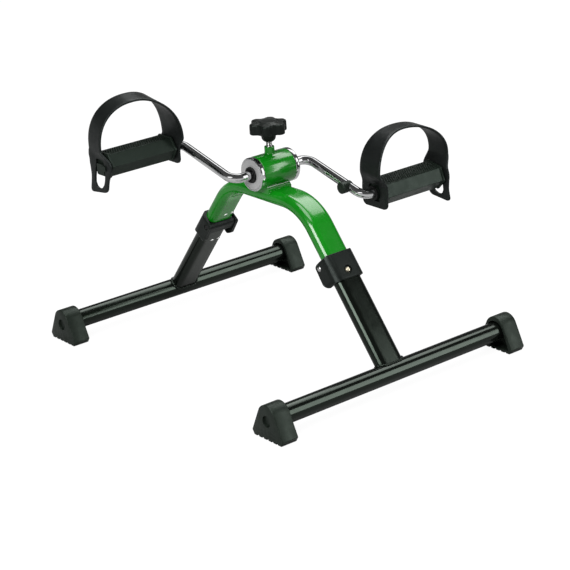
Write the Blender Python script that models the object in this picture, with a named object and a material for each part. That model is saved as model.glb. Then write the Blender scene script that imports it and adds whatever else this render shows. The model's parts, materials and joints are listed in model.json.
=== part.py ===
"""Folding pedal exerciser: an arched tube frame on two folding T-legs, a one-piece
bent crank in a hub on top of the arch, two strapped pedals, and a screw brake.

Lengths below are in millimetres and are turned into metres when points are made.
Frame: +Z up, floor at z = 0, X along the crank axle and the floor tubes, and the
user sits on the -Y side facing +Y. Front is +Y, rear is -Y, left is -X, right is +X.
"""

import math

import bmesh
import bpy
from mathutils import Matrix, Vector

MM = 0.001

# floor members
FLOOR_HALF_LENGTH = 200.0  # to the outer face of the feet
FLOOR_Y = 220.5  # tube axis from the middle plane
FLOOR_Z = 25.0
FLOOR_R = 12.5
TUBE_WALL = 1.4
FOOT_LENGTH = 24.0
FOOT_TOP_R = 16.6
FOOT_TOP_Z = 28.4
FOOT_WIDE = 29.0  # half width, just above the sole
FOOT_SOLE = 25.3  # half width at the floor
FOOT_WALL = 3.7
FOOT_SHELL = 3.2
FOOT_RING = 14.5  # radius of the open space over the tube
FOOT_SEAT = 10.0  # what is left solid at the outer end, round the tube
SOLE_RIBS = 6
SOLE_GROOVE = 2.0

# legs and arch, one flat-oval section
LEG_TILT = math.radians(38.6)  # from vertical
OVAL_W = 39.0
OVAL_T = 18.5
ARCH_Z = 210.0  # centre line of the flat top
ARCH_R = 70.0  # bend radius on the centre line

# folding joint, measured along the leg (s) from the floor tube's axis and
# outward (o) from the leg's centre line
BRACKET_LOW = 127.0
BRACKET_HIGH = 163.5
BRACKET_HALF = 24.5
BRACKET_ROUND = 12.3  # follows the oval tube's round edges
BRACKET_CORNER = 6.0
BRACKET_OUT = 12.6
EAR_IN = -16.5
TUBE_END = 161.6  # lower end of the arch
UPRIGHT_END = 144.5  # upper end of the leg
PIN_S = 154.5
PIN_O = -8.4
PIN_R = 3.0
BUTTON_S = 138.0
BUTTON_R = 3.2

# hub and brake
HUB_Z = 240.5
HUB_R = 22.0
HUB_BORE = 19.0
HUB_HALF = 25.0
CAP_FACE = 31.5
BOSS_R = 6.5
BOSS_TOP = 271.5
STUD_R = 4.0
KNOB_R = 22.2  # half way between lobe and hollow
KNOB_LOBES = 6
KNOB_WAVE = 2.6
KNOB_TURN = math.radians(44)  # where a lobe stands when the knob is at rest
KNOB_LOW = 289.7
KNOB_TOP = 304.7
NECK_LOW = 278.0

# crank
ROD_R = 6.0
ARM_X = 61.2
ARM_LENGTH = 112.0
ARM_ANGLE = math.radians(14.4)  # left pedal forward and up
BEND_R = 14.0
RUN = 0.35  # running gap round the rod

# pedals, measured from the pedal's middle with x pointing outward
PEDAL_X = 132.2
PEDAL_HALF = 49.8
PEDAL_FLAT = 12.2  # half width of the tread
PEDAL_WIDE = 21.2  # half width at the middle
PEDAL_HIGH = 14.4  # half height
PLATE_IN = 46.8
PLATE_OUT = 49.8
SPINDLE_END = 42.0
LEFT_ROLL = math.radians(-1.1)
RIGHT_ROLL = math.radians(11.5)
YOKE_WIDE = 24.3  # half width of the strap where it leaves the pedal
YOKE_TAIL = 19.6  # half width of the tail below
STRAP_TOP = 12.0  # half widths of the loop: top, inner side
STRAP_INNER = 22.2
STRAP_T = 2.8
INNER_LOW = -19.3
# how each strap lies: x at its ends, loop half widths, height of the widest point and rise
# above it, roundness, lean outward, half width of the outer side, then y and twist at the
# outer side, top and inner side
STRAPS = {
    "left": dict(
        base=52.4, inner=53.0, out=53.0, inn=53.7, low=17.8, rise=59.8, curve=0.89,
        skew=3.1, side=16.4, drift=(9.6, -2.7, -9.9), twist=(-7.4, 13.4, -1.3),
        tail=-37.6, shift=0.4, hang=0.25, slant=-0.13,
    ),
    "right": dict(
        base=52.4, inner=51.6, out=60.0, inn=60.0, low=28.2, rise=44.0, curve=0.88,
        skew=2.1, side=18.6, drift=(1.0, 12.4, -1.2), twist=(2.0, 0.5, -8.0),
        tail=-31.0, shift=-1.9, hang=-0.25, slant=0.10,
    ),
}

for ob in list(bpy.data.objects):
    bpy.data.objects.remove(ob, do_unlink=True)


# ---------------------------------------------------------------- materials


def finish(name, colour, roughness, metallic):
    m = bpy.data.materials.new(name)
    m.use_nodes = True
    shader = m.node_tree.nodes["Principled BSDF"]
    shader.inputs["Base Color"].default_value = (*colour, 1.0)
    shader.inputs["Roughness"].default_value = roughness
    shader.inputs["Metallic"].default_value = metallic
    return m


GREEN = finish("green_paint", (0.006, 0.255, 0.010), 0.25, 0.1)
BLACK_PAINT = finish("black_paint", (0.010, 0.011, 0.010), 0.25, 0.1)
CHROME = finish("chrome", (0.78, 0.79, 0.80), 0.10, 1.0)
ZINC = finish("zinc", (0.55, 0.55, 0.54), 0.35, 1.0)
PLASTIC = finish("black_plastic", (0.018, 0.019, 0.018), 0.5, 0.0)
RUBBER = finish("black_rubber", (0.022, 0.024, 0.022), 0.65, 0.0)
NYLON = finish("nylon", (0.60, 0.58, 0.52), 0.5, 0.0)
STEEL = finish("steel", (0.52, 0.52, 0.52), 0.35, 1.0)


# ------------------------------------------------------------ shape helpers


def p(x, y, z):
    return Vector((x * MM, y * MM, z * MM))


def along(axis, h, a, b):
    """A point h along an axis, with a and b across it, in a right-handed order."""
    return {"X": p(h, a, b), "Y": p(b, h, a), "Z": p(a, b, h)}[axis]


def finish_mesh(bm, name, material):
    bmesh.ops.remove_doubles(bm, verts=bm.verts, dist=1e-7)
    bmesh.ops.recalc_face_normals(bm, faces=bm.faces)
    mesh = bpy.data.meshes.new(name)
    bm.to_mesh(mesh)
    bm.free()
    mesh.shade_smooth()
    mesh.set_sharp_from_angle(angle=math.radians(32))
    mesh.materials.append(material)
    return mesh


def put(name, data, parent=None, matrix=None):
    ob = bpy.data.objects.new(name, data)
    bpy.context.scene.collection.objects.link(ob)
    if parent is not None:
        ob.parent = parent
        ob.matrix_parent_inverse = parent.matrix_world.inverted()
    ob.matrix_basis = matrix if matrix is not None else Matrix.Identity(4)
    bpy.context.view_layer.update()
    return ob


def empty(name, matrix, parent=None):
    ob = put(name, None, parent, matrix)
    ob.empty_display_size = 0.02
    return ob


def prism(bm, outline, low, high, axis):
    """An outline of (a, b) points extruded along an axis."""
    face = bm.faces.new([bm.verts.new(along(axis, low, a, b)) for a, b in outline])
    made = bmesh.ops.extrude_face_region(bm, geom=[face])["geom"]
    step = along(axis, high - low, 0, 0)
    bmesh.ops.translate(
        bm, vec=step, verts=[g for g in made if isinstance(g, bmesh.types.BMVert)]
    )


def turned(bm, profile, axis, segments, closed=True):
    """A profile of (along, radius) points spun about an axis through the origin."""
    verts = [bm.verts.new(along(axis, h, r, 0)) for h, r in profile]
    edges = [bm.edges.new(pair) for pair in zip(verts, verts[1:])]
    if closed:
        edges.append(bm.edges.new((verts[-1], verts[0])))
    bmesh.ops.spin(
        bm,
        geom=verts + edges,
        cent=(0, 0, 0),
        axis=along(axis, 1, 0, 0).normalized(),
        angle=math.tau,
        steps=segments,
        use_merge=True,
    )
    bmesh.ops.remove_doubles(bm, verts=bm.verts, dist=1e-7)


def skin(bm, loops, closed=False):
    """Quads between loops of equal length, and end faces unless the row of loops closes."""
    rows = [[bm.verts.new(v) for v in loop] for loop in loops]
    pairs = list(zip(rows, rows[1:])) + ([(rows[-1], rows[0])] if closed else [])
    n = len(rows[0])
    for a, b in pairs:
        for i in range(n):
            j = (i + 1) % n
            bm.faces.new((a[i], a[j], b[j], b[i]))
    if not closed:
        bm.faces.new(rows[0])
        bm.faces.new(rows[-1])


def oval(width, thick, steps=8):
    """A flat-oval outline: width along the first axis, thickness along the second."""
    r, c = thick / 2, (width - thick) / 2
    pts = []
    for side in (1, -1):
        for i in range(steps + 1):
            t = math.pi * (i / steps - 0.5)
            pts.append((side * (c + r * math.cos(t)), side * r * math.sin(t)))
    return pts


def block(bm, low, high):
    prism(
        bm,
        [(low[1], low[2]), (high[1], low[2]), (high[1], high[2]), (low[1], high[2])],
        low[0],
        high[0],
        "X",
    )


def cylinder(bm, axis, low, high, radius, across=(0.0, 0.0), segments=24, radius2=None):
    ends = ((low, radius), (high, radius if radius2 is None else radius2))
    loops = []
    for h, r in ends:
        loops.append(
            [
                along(
                    axis,
                    h,
                    across[0] + r * math.cos(math.tau * i / segments),
                    across[1] + r * math.sin(math.tau * i / segments),
                )
                for i in range(segments)
            ]
        )
    skin(bm, loops)


def shape(make):
    bm = bmesh.new()
    make(bm)
    return bm


def tool(ob, operation, bm, number=[0]):
    """Joins a hidden helper shape, in the object's own coordinates, to an object."""
    number[0] += 1
    helper = put(
        f"helper_{number[0]:02d}", finish_mesh(bm, f"helper_{number[0]:02d}", STEEL)
    )
    helper.matrix_world = ob.matrix_world.copy()
    helper.hide_render = True
    helper.display_type = "WIRE"
    mod = ob.modifiers.new(operation.lower(), "BOOLEAN")
    mod.operation = operation
    mod.object = helper
    mod.solver = "EXACT"
    bpy.context.view_layer.update()


def cut(ob, make):
    tool(ob, "DIFFERENCE", shape(make))


def join(ob, make):
    tool(ob, "UNION", shape(make))


def rounded(points, radius, steps=4):
    """A closed outline with its corners rounded; radius is one number or one per corner."""
    out = []
    n = len(points)
    for i in range(n):
        r = radius[i] if isinstance(radius, (list, tuple)) else radius
        here = Vector(points[i])
        a = (Vector(points[i - 1]) - here).normalized()
        b = (Vector(points[(i + 1) % n]) - here).normalized()
        if r <= 0:
            out.append(tuple(here))
            continue
        half = a.angle(b) / 2
        centre = here + (a + b).normalized() * (r / math.sin(half))
        start = here + a * (r / math.tan(half)) - centre
        end = here + b * (r / math.tan(half)) - centre
        t0 = math.atan2(start.y, start.x)
        turn = (math.atan2(end.y, end.x) - t0 + math.pi) % math.tau - math.pi
        for k in range(steps + 1):
            t = t0 + turn * k / steps
            out.append((centre.x + r * math.cos(t), centre.y + r * math.sin(t)))
    return out


def bar(name, points, radius, material, resolution):
    """A round bar as a bevelled curve with closed ends."""
    curve = bpy.data.curves.new(name, "CURVE")
    curve.dimensions = "3D"
    curve.bevel_depth = radius * MM
    curve.bevel_resolution = resolution
    curve.use_fill_caps = True
    line = curve.splines.new("POLY")
    line.points.add(len(points) - 1)
    for point, co in zip(line.points, points):
        point.co = (*(co * MM), 1.0)
    curve.materials.append(material)
    return curve


# ---------------------------------------------------------- frame: the arch


def leg_matrix(side):
    """Leg coordinates (x, s along the leg, o outward) to the world; side is +1 in front."""
    x = Vector((-side, 0, 0))
    s = Vector((0, -side * math.sin(LEG_TILT), math.cos(LEG_TILT)))
    o = Vector((0, side * math.cos(LEG_TILT), math.sin(LEG_TILT)))
    m = Matrix((x, s, o)).transposed().to_4x4()
    m.translation = p(0, side * FLOOR_Y, FLOOR_Z)
    return m


FRONT, REAR = leg_matrix(1), leg_matrix(-1)
corner_y = FLOOR_Y - (ARCH_Z - FLOOR_Z) * math.tan(LEG_TILT)
sweep = math.pi / 2 - LEG_TILT
bend_y = corner_y - ARCH_R * math.tan(sweep / 2)

half_path = []  # (y, z, angle of the outward normal from +Z)
for k in range(11):
    t = sweep * k / 10
    half_path.append(
        (bend_y + ARCH_R * math.sin(t), ARCH_Z - ARCH_R + ARCH_R * math.cos(t), t)
    )
low_end = FRONT @ p(0, TUBE_END, 0)
half_path.append((low_end.y / MM, low_end.z / MM, sweep))
arch_path = [(-y, z, -t) for y, z, t in reversed(half_path)] + half_path


def arch_loops(width, thick):
    return [
        [
            p(a, y + b * math.sin(t), z + b * math.cos(t))
            for a, b in oval(width, thick)
        ]
        for y, z, t in arch_path
    ]


def hollow(bm, outer, inner):
    """A tube wall between two rows of loops, open at both ends."""
    rows = [[bm.verts.new(v) for v in loop] for loop in outer + inner[::-1]]
    n = len(rows[0])
    for a, b in zip(rows, rows[1:] + rows[:1]):
        for i in range(n):
            j = (i + 1) % n
            bm.faces.new((a[i], a[j], b[j], b[i]))


put(
    "arch_tube",
    finish_mesh(
        shape(
            lambda bm: hollow(
                bm,
                arch_loops(OVAL_W, OVAL_T),
                arch_loops(OVAL_W - 2 * TUBE_WALL, OVAL_T - 2 * TUBE_WALL),
            )
        ),
        "arch_tube",
        GREEN,
    ),
)

# ----------------------------------------------------------- frame: the hub

AXLE = Matrix.Translation(p(0, 0, HUB_Z))
crank_axis = empty("crank_axis", AXLE)

hub = put(
    "hub_shell",
    finish_mesh(
        shape(lambda bm: cylinder(bm, "X", -HUB_HALF, HUB_HALF, HUB_R, segments=40)),
        "hub_shell",
        GREEN,
    ),
    None,
    AXLE,
)
join(hub, lambda bm: cylinder(bm, "Z", 14, BOSS_TOP - HUB_Z, BOSS_R))
join(hub, lambda bm: block(bm, (-18.5, -11.5, ARCH_Z + 1 - HUB_Z), (18.5, 11.5, -12)))
cut(hub, lambda bm: cylinder(bm, "X", -40, 40, HUB_BORE, segments=40))
cut(hub, lambda bm: cylinder(bm, "Z", 5, 60, STUD_R + RUN))
cut(
    hub,
    lambda bm: prism(
        bm,
        [(b + ARCH_Z - HUB_Z, a) for a, b in oval(OVAL_W + 0.7, OVAL_T + 0.7, 12)],
        -30,
        30,
        "Y",
    ),
)

for side, name in ((-1, "left"), (1, "right")):
    turn = Matrix.Rotation(math.pi if side < 0 else 0, 4, "Z")
    put(
        "end_cap_" + name,
        finish_mesh(
            shape(
                lambda bm: turned(
                    bm,
                    [
                        (17, HUB_BORE - 0.35),
                        (HUB_HALF + 0.3, HUB_BORE - 0.35),
                        (HUB_HALF + 0.3, HUB_R),
                        (CAP_FACE - 1.0, HUB_R),
                        (CAP_FACE - 0.3, HUB_R - 0.3),
                        (CAP_FACE, HUB_R - 1.0),
                        (CAP_FACE, 9.75),
                        (CAP_FACE - 3.5, 9.75),
                        (CAP_FACE - 3.5, 15.6),
                        (17, 15.6),
                    ],
                    "X",
                    36,
                )
            ),
            "end_cap_" + name,
            CHROME,
        ),
        None,
        AXLE @ turn,
    )
    put(
        "axle_bush_" + name,
        finish_mesh(
            shape(
                lambda bm: turned(
                    bm,
                    [
                        (16, ROD_R + RUN),
                        (16, 9.4),
                        (CAP_FACE + 0.3, 9.4),
                        (CAP_FACE + 0.3, 10.5),
                        (CAP_FACE + 1.8, 10.5),
                        (CAP_FACE + 2.4, 9.9),
                        (CAP_FACE + 2.4, ROD_R + RUN),
                    ],
                    "X",
                    28,
                )
            ),
            "axle_bush_" + name,
            PLASTIC,
        ),
        None,
        AXLE @ turn,
    )

# ------------------------------------------------- brake: shoe, stud, knob

knob_axis = empty("knob_axis", Matrix.Translation(p(0, 0, BOSS_TOP)))
SHOE_LOW, SHOE_HIGH, SHOE_HALF = 11.0, 14.5, 8.0


def shoe_outline():
    arc = math.asin(SHOE_HALF / SHOE_LOW)
    pts = [(-SHOE_HALF, SHOE_HIGH), (SHOE_HALF, SHOE_HIGH)]
    for k in range(9):
        t = arc * (1 - k / 4)
        pts.append((SHOE_LOW * math.sin(t), SHOE_LOW * math.cos(t)))
    return pts


put(
    "brake_shoe",
    finish_mesh(
        shape(lambda bm: prism(bm, shoe_outline(), -9, 9, "X")), "brake_shoe", NYLON
    ),
    knob_axis,
    AXLE,
)
put(
    "tension_stud",
    finish_mesh(
        shape(
            lambda bm: cylinder(
                bm, "Z", HUB_Z + SHOE_HIGH + 0.3, KNOB_LOW + 2.5, STUD_R
            )
        ),
        "tension_stud",
        STEEL,
    ),
    knob_axis,
)


def knob_loops():
    count = KNOB_LOBES * 10
    rings = (
        (NECK_LOW, 5.3, 0.0),
        (NECK_LOW + 1.5, 7.4, 0.0),
        (NECK_LOW + 4.0, 9.0, 0.0),
        (KNOB_LOW - 3.2, 9.8, 0.0),
        (KNOB_LOW, 11.4, 0.0),
        (KNOB_LOW, KNOB_R - 1.2, 1.0),
        (KNOB_LOW + 1.2, KNOB_R, 1.0),
        (KNOB_TOP - 3.2, KNOB_R, 1.0),
        (KNOB_TOP - 1.6, KNOB_R - 1.0, 1.0),
        (KNOB_TOP - 0.8, KNOB_R - 3.2, 0.8),
        (KNOB_TOP, 12.0, 0.0),
    )
    for z, radius, wave in rings:
        loop = []
        for i in range(count):
            t = math.tau * i / count
            r = radius + wave * KNOB_WAVE * math.cos(KNOB_LOBES * t)
            loop.append(p(r * math.cos(t + KNOB_TURN), r * math.sin(t + KNOB_TURN), z))
        yield loop


knob = put(
    "tension_knob",
    finish_mesh(shape(lambda bm: skin(bm, list(knob_loops()))), "tension_knob", PLASTIC),
    knob_axis,
)
cut(knob, lambda bm: cylinder(bm, "Z", NECK_LOW - 5, KNOB_LOW + 2.9, STUD_R + 0.3))

# ------------------------------------------------------------------- crank


def bent(corners, radius, steps=7):
    """Points along straight runs joined by bends of one radius."""
    out = [corners[0]]
    for a, b, c in zip(corners, corners[1:], corners[2:]):
        u, v = (a - b).normalized(), (c - b).normalized()
        half = u.angle(v) / 2
        centre = b + (u + v).normalized() * (radius / math.sin(half))
        start, end = b + u * (radius / math.tan(half)), b + v * (radius / math.tan(half))
        e1 = (start - centre).normalized()
        e2 = ((end - centre) - e1 * (end - centre).dot(e1)).normalized()
        total = math.pi - 2 * half
        for k in range(steps + 1):
            t = total * k / steps
            out.append(centre + (e1 * math.cos(t) + e2 * math.sin(t)) * radius)
    out.append(corners[-1])
    return out


reach = Vector((0, math.cos(ARM_ANGLE), math.sin(ARM_ANGLE)))
spindle = PEDAL_X + SPINDLE_END
rod_corners = [
    Vector((-spindle, 0, 0)) + reach * ARM_LENGTH,
    Vector((-ARM_X, 0, 0)) + reach * ARM_LENGTH,
    Vector((-ARM_X, 0, 0)),
    Vector((ARM_X, 0, 0)),
    Vector((ARM_X, 0, 0)) - reach * ARM_LENGTH,
    Vector((spindle, 0, 0)) - reach * ARM_LENGTH,
]
put(
    "crank_rod",
    bar("crank_rod", bent(rod_corners, BEND_R), ROD_R, CHROME, 5),
    crank_axis,
    AXLE,
)
put(
    "crank_sleeve",
    finish_mesh(
        shape(
            lambda bm: turned(
                bm,
                [(-15.4, ROD_R + 0.3), (-15.4, 10.0), (15.4, 10.0), (15.4, ROD_R + 0.3)],
                "X",
                28,
            )
        ),
        "crank_sleeve",
        STEEL,
    ),
    crank_axis,
    AXLE,
)

BUFFER_AT, BUFFER_R = 82.7, 7.6
arm_turn = Matrix.Rotation(ARM_ANGLE, 4, "X")
buffer = put(
    "crank_buffer",
    finish_mesh(
        shape(lambda bm: cylinder(bm, "X", 47.5, 64.0, BUFFER_R, segments=20)),
        "crank_buffer",
        RUBBER,
    ),
    crank_axis,
    AXLE @ arm_turn @ Matrix.Translation(p(0, -BUFFER_AT, 0)),
)
cut(
    buffer,
    lambda bm: cylinder(bm, "Y", -20, 20, ROD_R + 0.3, across=(0, ARM_X), segments=20),
)

# ------------------------------------------------------------------ pedals


def pedal_section(grow=0.0):
    """Six-sided section, (y, z), grown evenly outward."""
    k = 1 + grow / PEDAL_HIGH
    w, f, h = PEDAL_WIDE * k, PEDAL_FLAT * k, PEDAL_HIGH * k
    return rounded(
        [(f, h), (-f, h), (-w, 0), (-f, -h), (f, -h), (w, 0)], 2.0, steps=2
    )


def pedal_loops(stations):
    return [
        [p(x, y, z) for y, z in pedal_section(grow)] for x, grow in stations
    ]


def ease(t):
    t = max(0.0, min(1.0, t))
    return t * t * (3 - 2 * t)


def corner(rise, radius):
    """How much a rounded corner takes off, at a height above its end."""
    left = 1 - min(1.0, rise / radius)
    return radius * (1 - math.sqrt(1 - left * left))


def strap_stations(s):
    """(x, y, z, half width, twist, slant) from the outer tail over the loop to the inner end."""
    pts = []
    turn = [1 - math.cos(math.pi / 2 * k / 4) for k in range(5)]
    for z in [s["tail"] + 6.0 * k for k in turn] + [-20.0, -14.0, -9.0, -4.0, 0.0]:
        half = YOKE_TAIL + (YOKE_WIDE - YOKE_TAIL) * ease((z + 20) / 20)
        pts.append(
            (
                s["base"],
                s["shift"] + s["hang"] * max(0.0, -5 - z),
                z,
                half - corner(z - s["tail"], 6.0),
                0.0,
                s["slant"] * ease((-14 - z) / 14),
            )
        )

    def leg(t, start, widest, drift, twist, wide, narrow):
        return (
            start + (widest - start) * ease((t - 0.3) / 0.7),
            s["shift"] * (1 - ease(t)) + drift * ease(t),
            2 + (s["low"] - 2) * t,
            wide + (narrow - wide) * t**1.4,
            twist * ease((t - 0.3) / 0.7),
            0.0,
        )

    for k in range(5):
        pts.append(leg(k / 5, s["base"], s["out"], s["drift"][0], s["twist"][0], YOKE_WIDE, s["side"]))
    for k in range(25):
        t = math.pi * k / 24
        c = math.cos(t) if k != 12 else 0.0
        outer, inner = max(0.0, c) ** 1.5, max(0.0, -c) ** 1.5

        def mix(o, m, i):
            return m + (o - m) * outer + (i - m) * inner

        x = (s["out"] if c > 0 else -s["inn"]) * abs(c) ** s["curve"]
        pts.append(
            (
                x + s["skew"] * math.sin(t),
                mix(*s["drift"]),
                s["low"] + s["rise"] * max(0.0, math.sin(t)) ** s["curve"],
                mix(s["side"], STRAP_TOP, STRAP_INNER),
                mix(*s["twist"]),
                0.0,
            )
        )
    for k in range(4, -1, -1):
        x, y, z, half, twist, _ = leg(
            k / 5, s["inner"], s["inn"], s["drift"][2], s["twist"][2], YOKE_WIDE, STRAP_INNER
        )
        pts.append((-x, y - s["shift"] * (1 - ease(k / 5)), z, half, twist, 0.0))
    for z in [-4.0, -8.5] + [INNER_LOW + 7.0 * k for k in reversed(turn)]:
        pts.append((-s["inner"], 0.0, z, 23.6 - corner(z - INNER_LOW, 7.0), 0.0, 0.0))
    return pts


def strap_loops(s, side):
    """Sections of the strap; y and twist are given for the front of the machine."""
    path = strap_stations(s)
    for i, (x, y, z, half, twist, slant) in enumerate(path):
        a, b = path[max(i - 1, 0)], path[min(i + 1, len(path) - 1)]
        run, climb = b[0] - a[0], b[2] - a[2]
        length = math.hypot(run, climb)
        nx, nz = climb / length, -run / length
        c, d = math.cos(math.radians(twist)), math.sin(math.radians(twist))
        loop = []
        for w, h in ((-half, 1), (half, 1), (half, -1), (-half, -1)):
            h *= STRAP_T / 2
            loop.append(
                p(
                    x + nx * (d * w + c * h),
                    side * (y + c * w - d * h),
                    z + nz * (d * w + c * h) + slant * w,
                )
            )
        yield loop


def strap_slot(s, side):
    """Outline (y, z) of the slot that hangs on the pedal's lug."""
    tip = s["tail"] + 5.3
    half = [
        (7.6, 7.5), (10.6, -4.0), (11.3, tip + 14), (10.4, tip + 7), (7.0, tip + 2.2), (2.0, tip)
    ]
    pts = [(w, z) for w, z in half] + [(-w, z) for w, z in reversed(half)]
    return [
        (side * (w + s["shift"] + s["hang"] * max(0.0, -5 - z)), z) for w, z in pts
    ]


def make_pedal(name, side, roll, lie):
    at = AXLE @ Matrix.Translation((Vector((side * PEDAL_X, 0, 0)) - side * reach * ARM_LENGTH) * MM)
    pivot = empty(f"{name}_pedal_axis", at, crank_axis)
    face = Matrix.Rotation(math.pi if side < 0 else 0, 4, "Z")
    place = at @ Matrix.Rotation(roll, 4, "X") @ face

    body = put(
        f"pedal_body_{name}",
        finish_mesh(
            shape(
                lambda bm: skin(
                    bm,
                    pedal_loops(
                        [
                            (-PEDAL_HALF, 1.2),
                            (-PEDAL_HALF + 3.0, 1.2),
                            (-PEDAL_HALF + 3.2, 0.0),
                            (PLATE_IN - 0.3, 0.0),
                        ]
                    ),
                )
            ),
            f"pedal_body_{name}",
            PLASTIC,
        ),
        pivot,
        place,
    )
    join(body, lambda bm: cylinder(bm, "X", -PEDAL_HALF - 4.4, -PEDAL_HALF + 4, 9.0))
    cut(body, lambda bm: cylinder(bm, "X", -70, 40, ROD_R + RUN))
    cut(body, lambda bm: cylinder(bm, "X", 37.5, 60, 10.0))

    plate = put(
        f"pedal_end_plate_{name}",
        finish_mesh(
            shape(
                lambda bm: skin(
                    bm,
                    pedal_loops(
                        [(PLATE_IN, 1.2), (PLATE_OUT - 0.6, 1.2), (PLATE_OUT, 0.6)]
                    ),
                )
            ),
            f"pedal_end_plate_{name}",
            PLASTIC,
        ),
        pivot,
        place,
    )
    # the lug that the strap's slot goes over, and the lip that keeps the strap on it
    for x, y, z in (((PLATE_OUT - 2, 54.3), (-7.5, 4.0), (-12.5, 1.5)), ((54.1, 55.5), (-13.0, -4.0), (-6.5, 0.5))):
        low, high = sorted((side * y[0], side * y[1]))
        join(plate, lambda bm: block(bm, (x[0], low, z[0]), (x[1], high, z[1])))
    join(plate, lambda bm: cylinder(bm, "X", 45.3, 48, 9.6))

    strap = put(
        f"pedal_strap_{name}",
        finish_mesh(
            shape(lambda bm: skin(bm, list(strap_loops(lie, side)))),
            f"pedal_strap_{name}",
            RUBBER,
        ),
        pivot,
        at @ face,
    )
    cut(
        strap,
        lambda bm: prism(
            bm,
            rounded(
                strap_slot(lie, side),
                [1.5, 4.0, 5.0, 4.0, 4.0, 3.5, 3.5, 4.0, 4.0, 5.0, 4.0, 1.5],
                steps=2,
            ),
            40,
            62,
            "X",
        ),
    )
    cut(
        strap,
        lambda bm: prism(
            bm,
            rounded([(-10.2, 11.0), (-10.2, -11.0), (10.2, -11.0), (10.2, 11.0)], 4.0, steps=2),
            -62,
            -40,
            "X",
        ),
    )
    # what keeps the pedal on its spindle turns with the crank
    put(
        f"spindle_washer_{name}",
        finish_mesh(
            shape(
                lambda bm: turned(
                    bm,
                    [(-56.5, ROD_R + 0.3), (-56.5, 9.6), (-54.6, 9.6), (-54.6, ROD_R + 0.3)],
                    "X",
                    20,
                )
            ),
            f"spindle_washer_{name}",
            PLASTIC,
        ),
        crank_axis,
        at @ face,
    )
    put(
        f"spindle_cap_{name}",
        finish_mesh(
            shape(
                lambda bm: turned(
                    bm,
                    [
                        (44.0, 0.0),
                        (44.0, 8.4),
                        (38.2, 8.4),
                        (38.2, ROD_R + 0.3),
                        (SPINDLE_END + 0.4, ROD_R + 0.3),
                        (SPINDLE_END + 0.4, 0.0),
                    ],
                    "X",
                    20,
                    closed=False,
                )
            ),
            f"spindle_cap_{name}",
            STEEL,
        ),
        crank_axis,
        at @ face,
    )


make_pedal("left", -1, LEFT_ROLL, STRAPS["left"])
make_pedal("right", 1, RIGHT_ROLL, STRAPS["right"])

# ------------------------------------------------------- folding legs

foot_reach = math.hypot(FOOT_WIDE, FOOT_TOP_Z - 6.0)


def foot_outline():
    """(y, z) of the foot seen along the tube: round top, sloping sides, ribbed sole."""
    pts = []
    low = math.acos(FOOT_TOP_R / foot_reach) - math.atan2(FOOT_TOP_Z - 6.0, FOOT_WIDE)
    for k in range(13):
        t = low + (math.pi - 2 * low) * k / 12
        pts.append((FOOT_TOP_R * math.cos(t), FOOT_TOP_Z + FOOT_TOP_R * math.sin(t)))
    pts.append((-FOOT_WIDE, 6.0))
    pitch = 2 * FOOT_SOLE / SOLE_RIBS
    for k in range(SOLE_RIBS):
        left = -FOOT_SOLE + k * pitch
        pts.append((left + (0.0 if k == 0 else 0.7), 0.0))
        pts.append((left + pitch - (0.0 if k == SOLE_RIBS - 1 else 3.0), 0.0))
        if k < SOLE_RIBS - 1:
            pts.append((left + pitch - 1.2, SOLE_GROOVE))
    pts.append((FOOT_WIDE, 6.0))
    return pts


def foot_hollow():
    """(y, z) of the open inside of the foot, round the tube."""
    pts = []
    low = math.radians(25)
    for k in range(9):
        t = low + (math.pi - 2 * low) * k / 8
        pts.append((FOOT_RING * math.cos(t), FLOOR_Z + FOOT_RING * math.sin(t)))
    wide, deep = FOOT_WIDE - 1.4 * FOOT_SHELL, FOOT_SHELL + 1.0
    return pts + [(-wide, deep + 1.0), (1.0 - wide, deep), (wide - 1.0, deep), (wide, deep + 1.0)]


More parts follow.
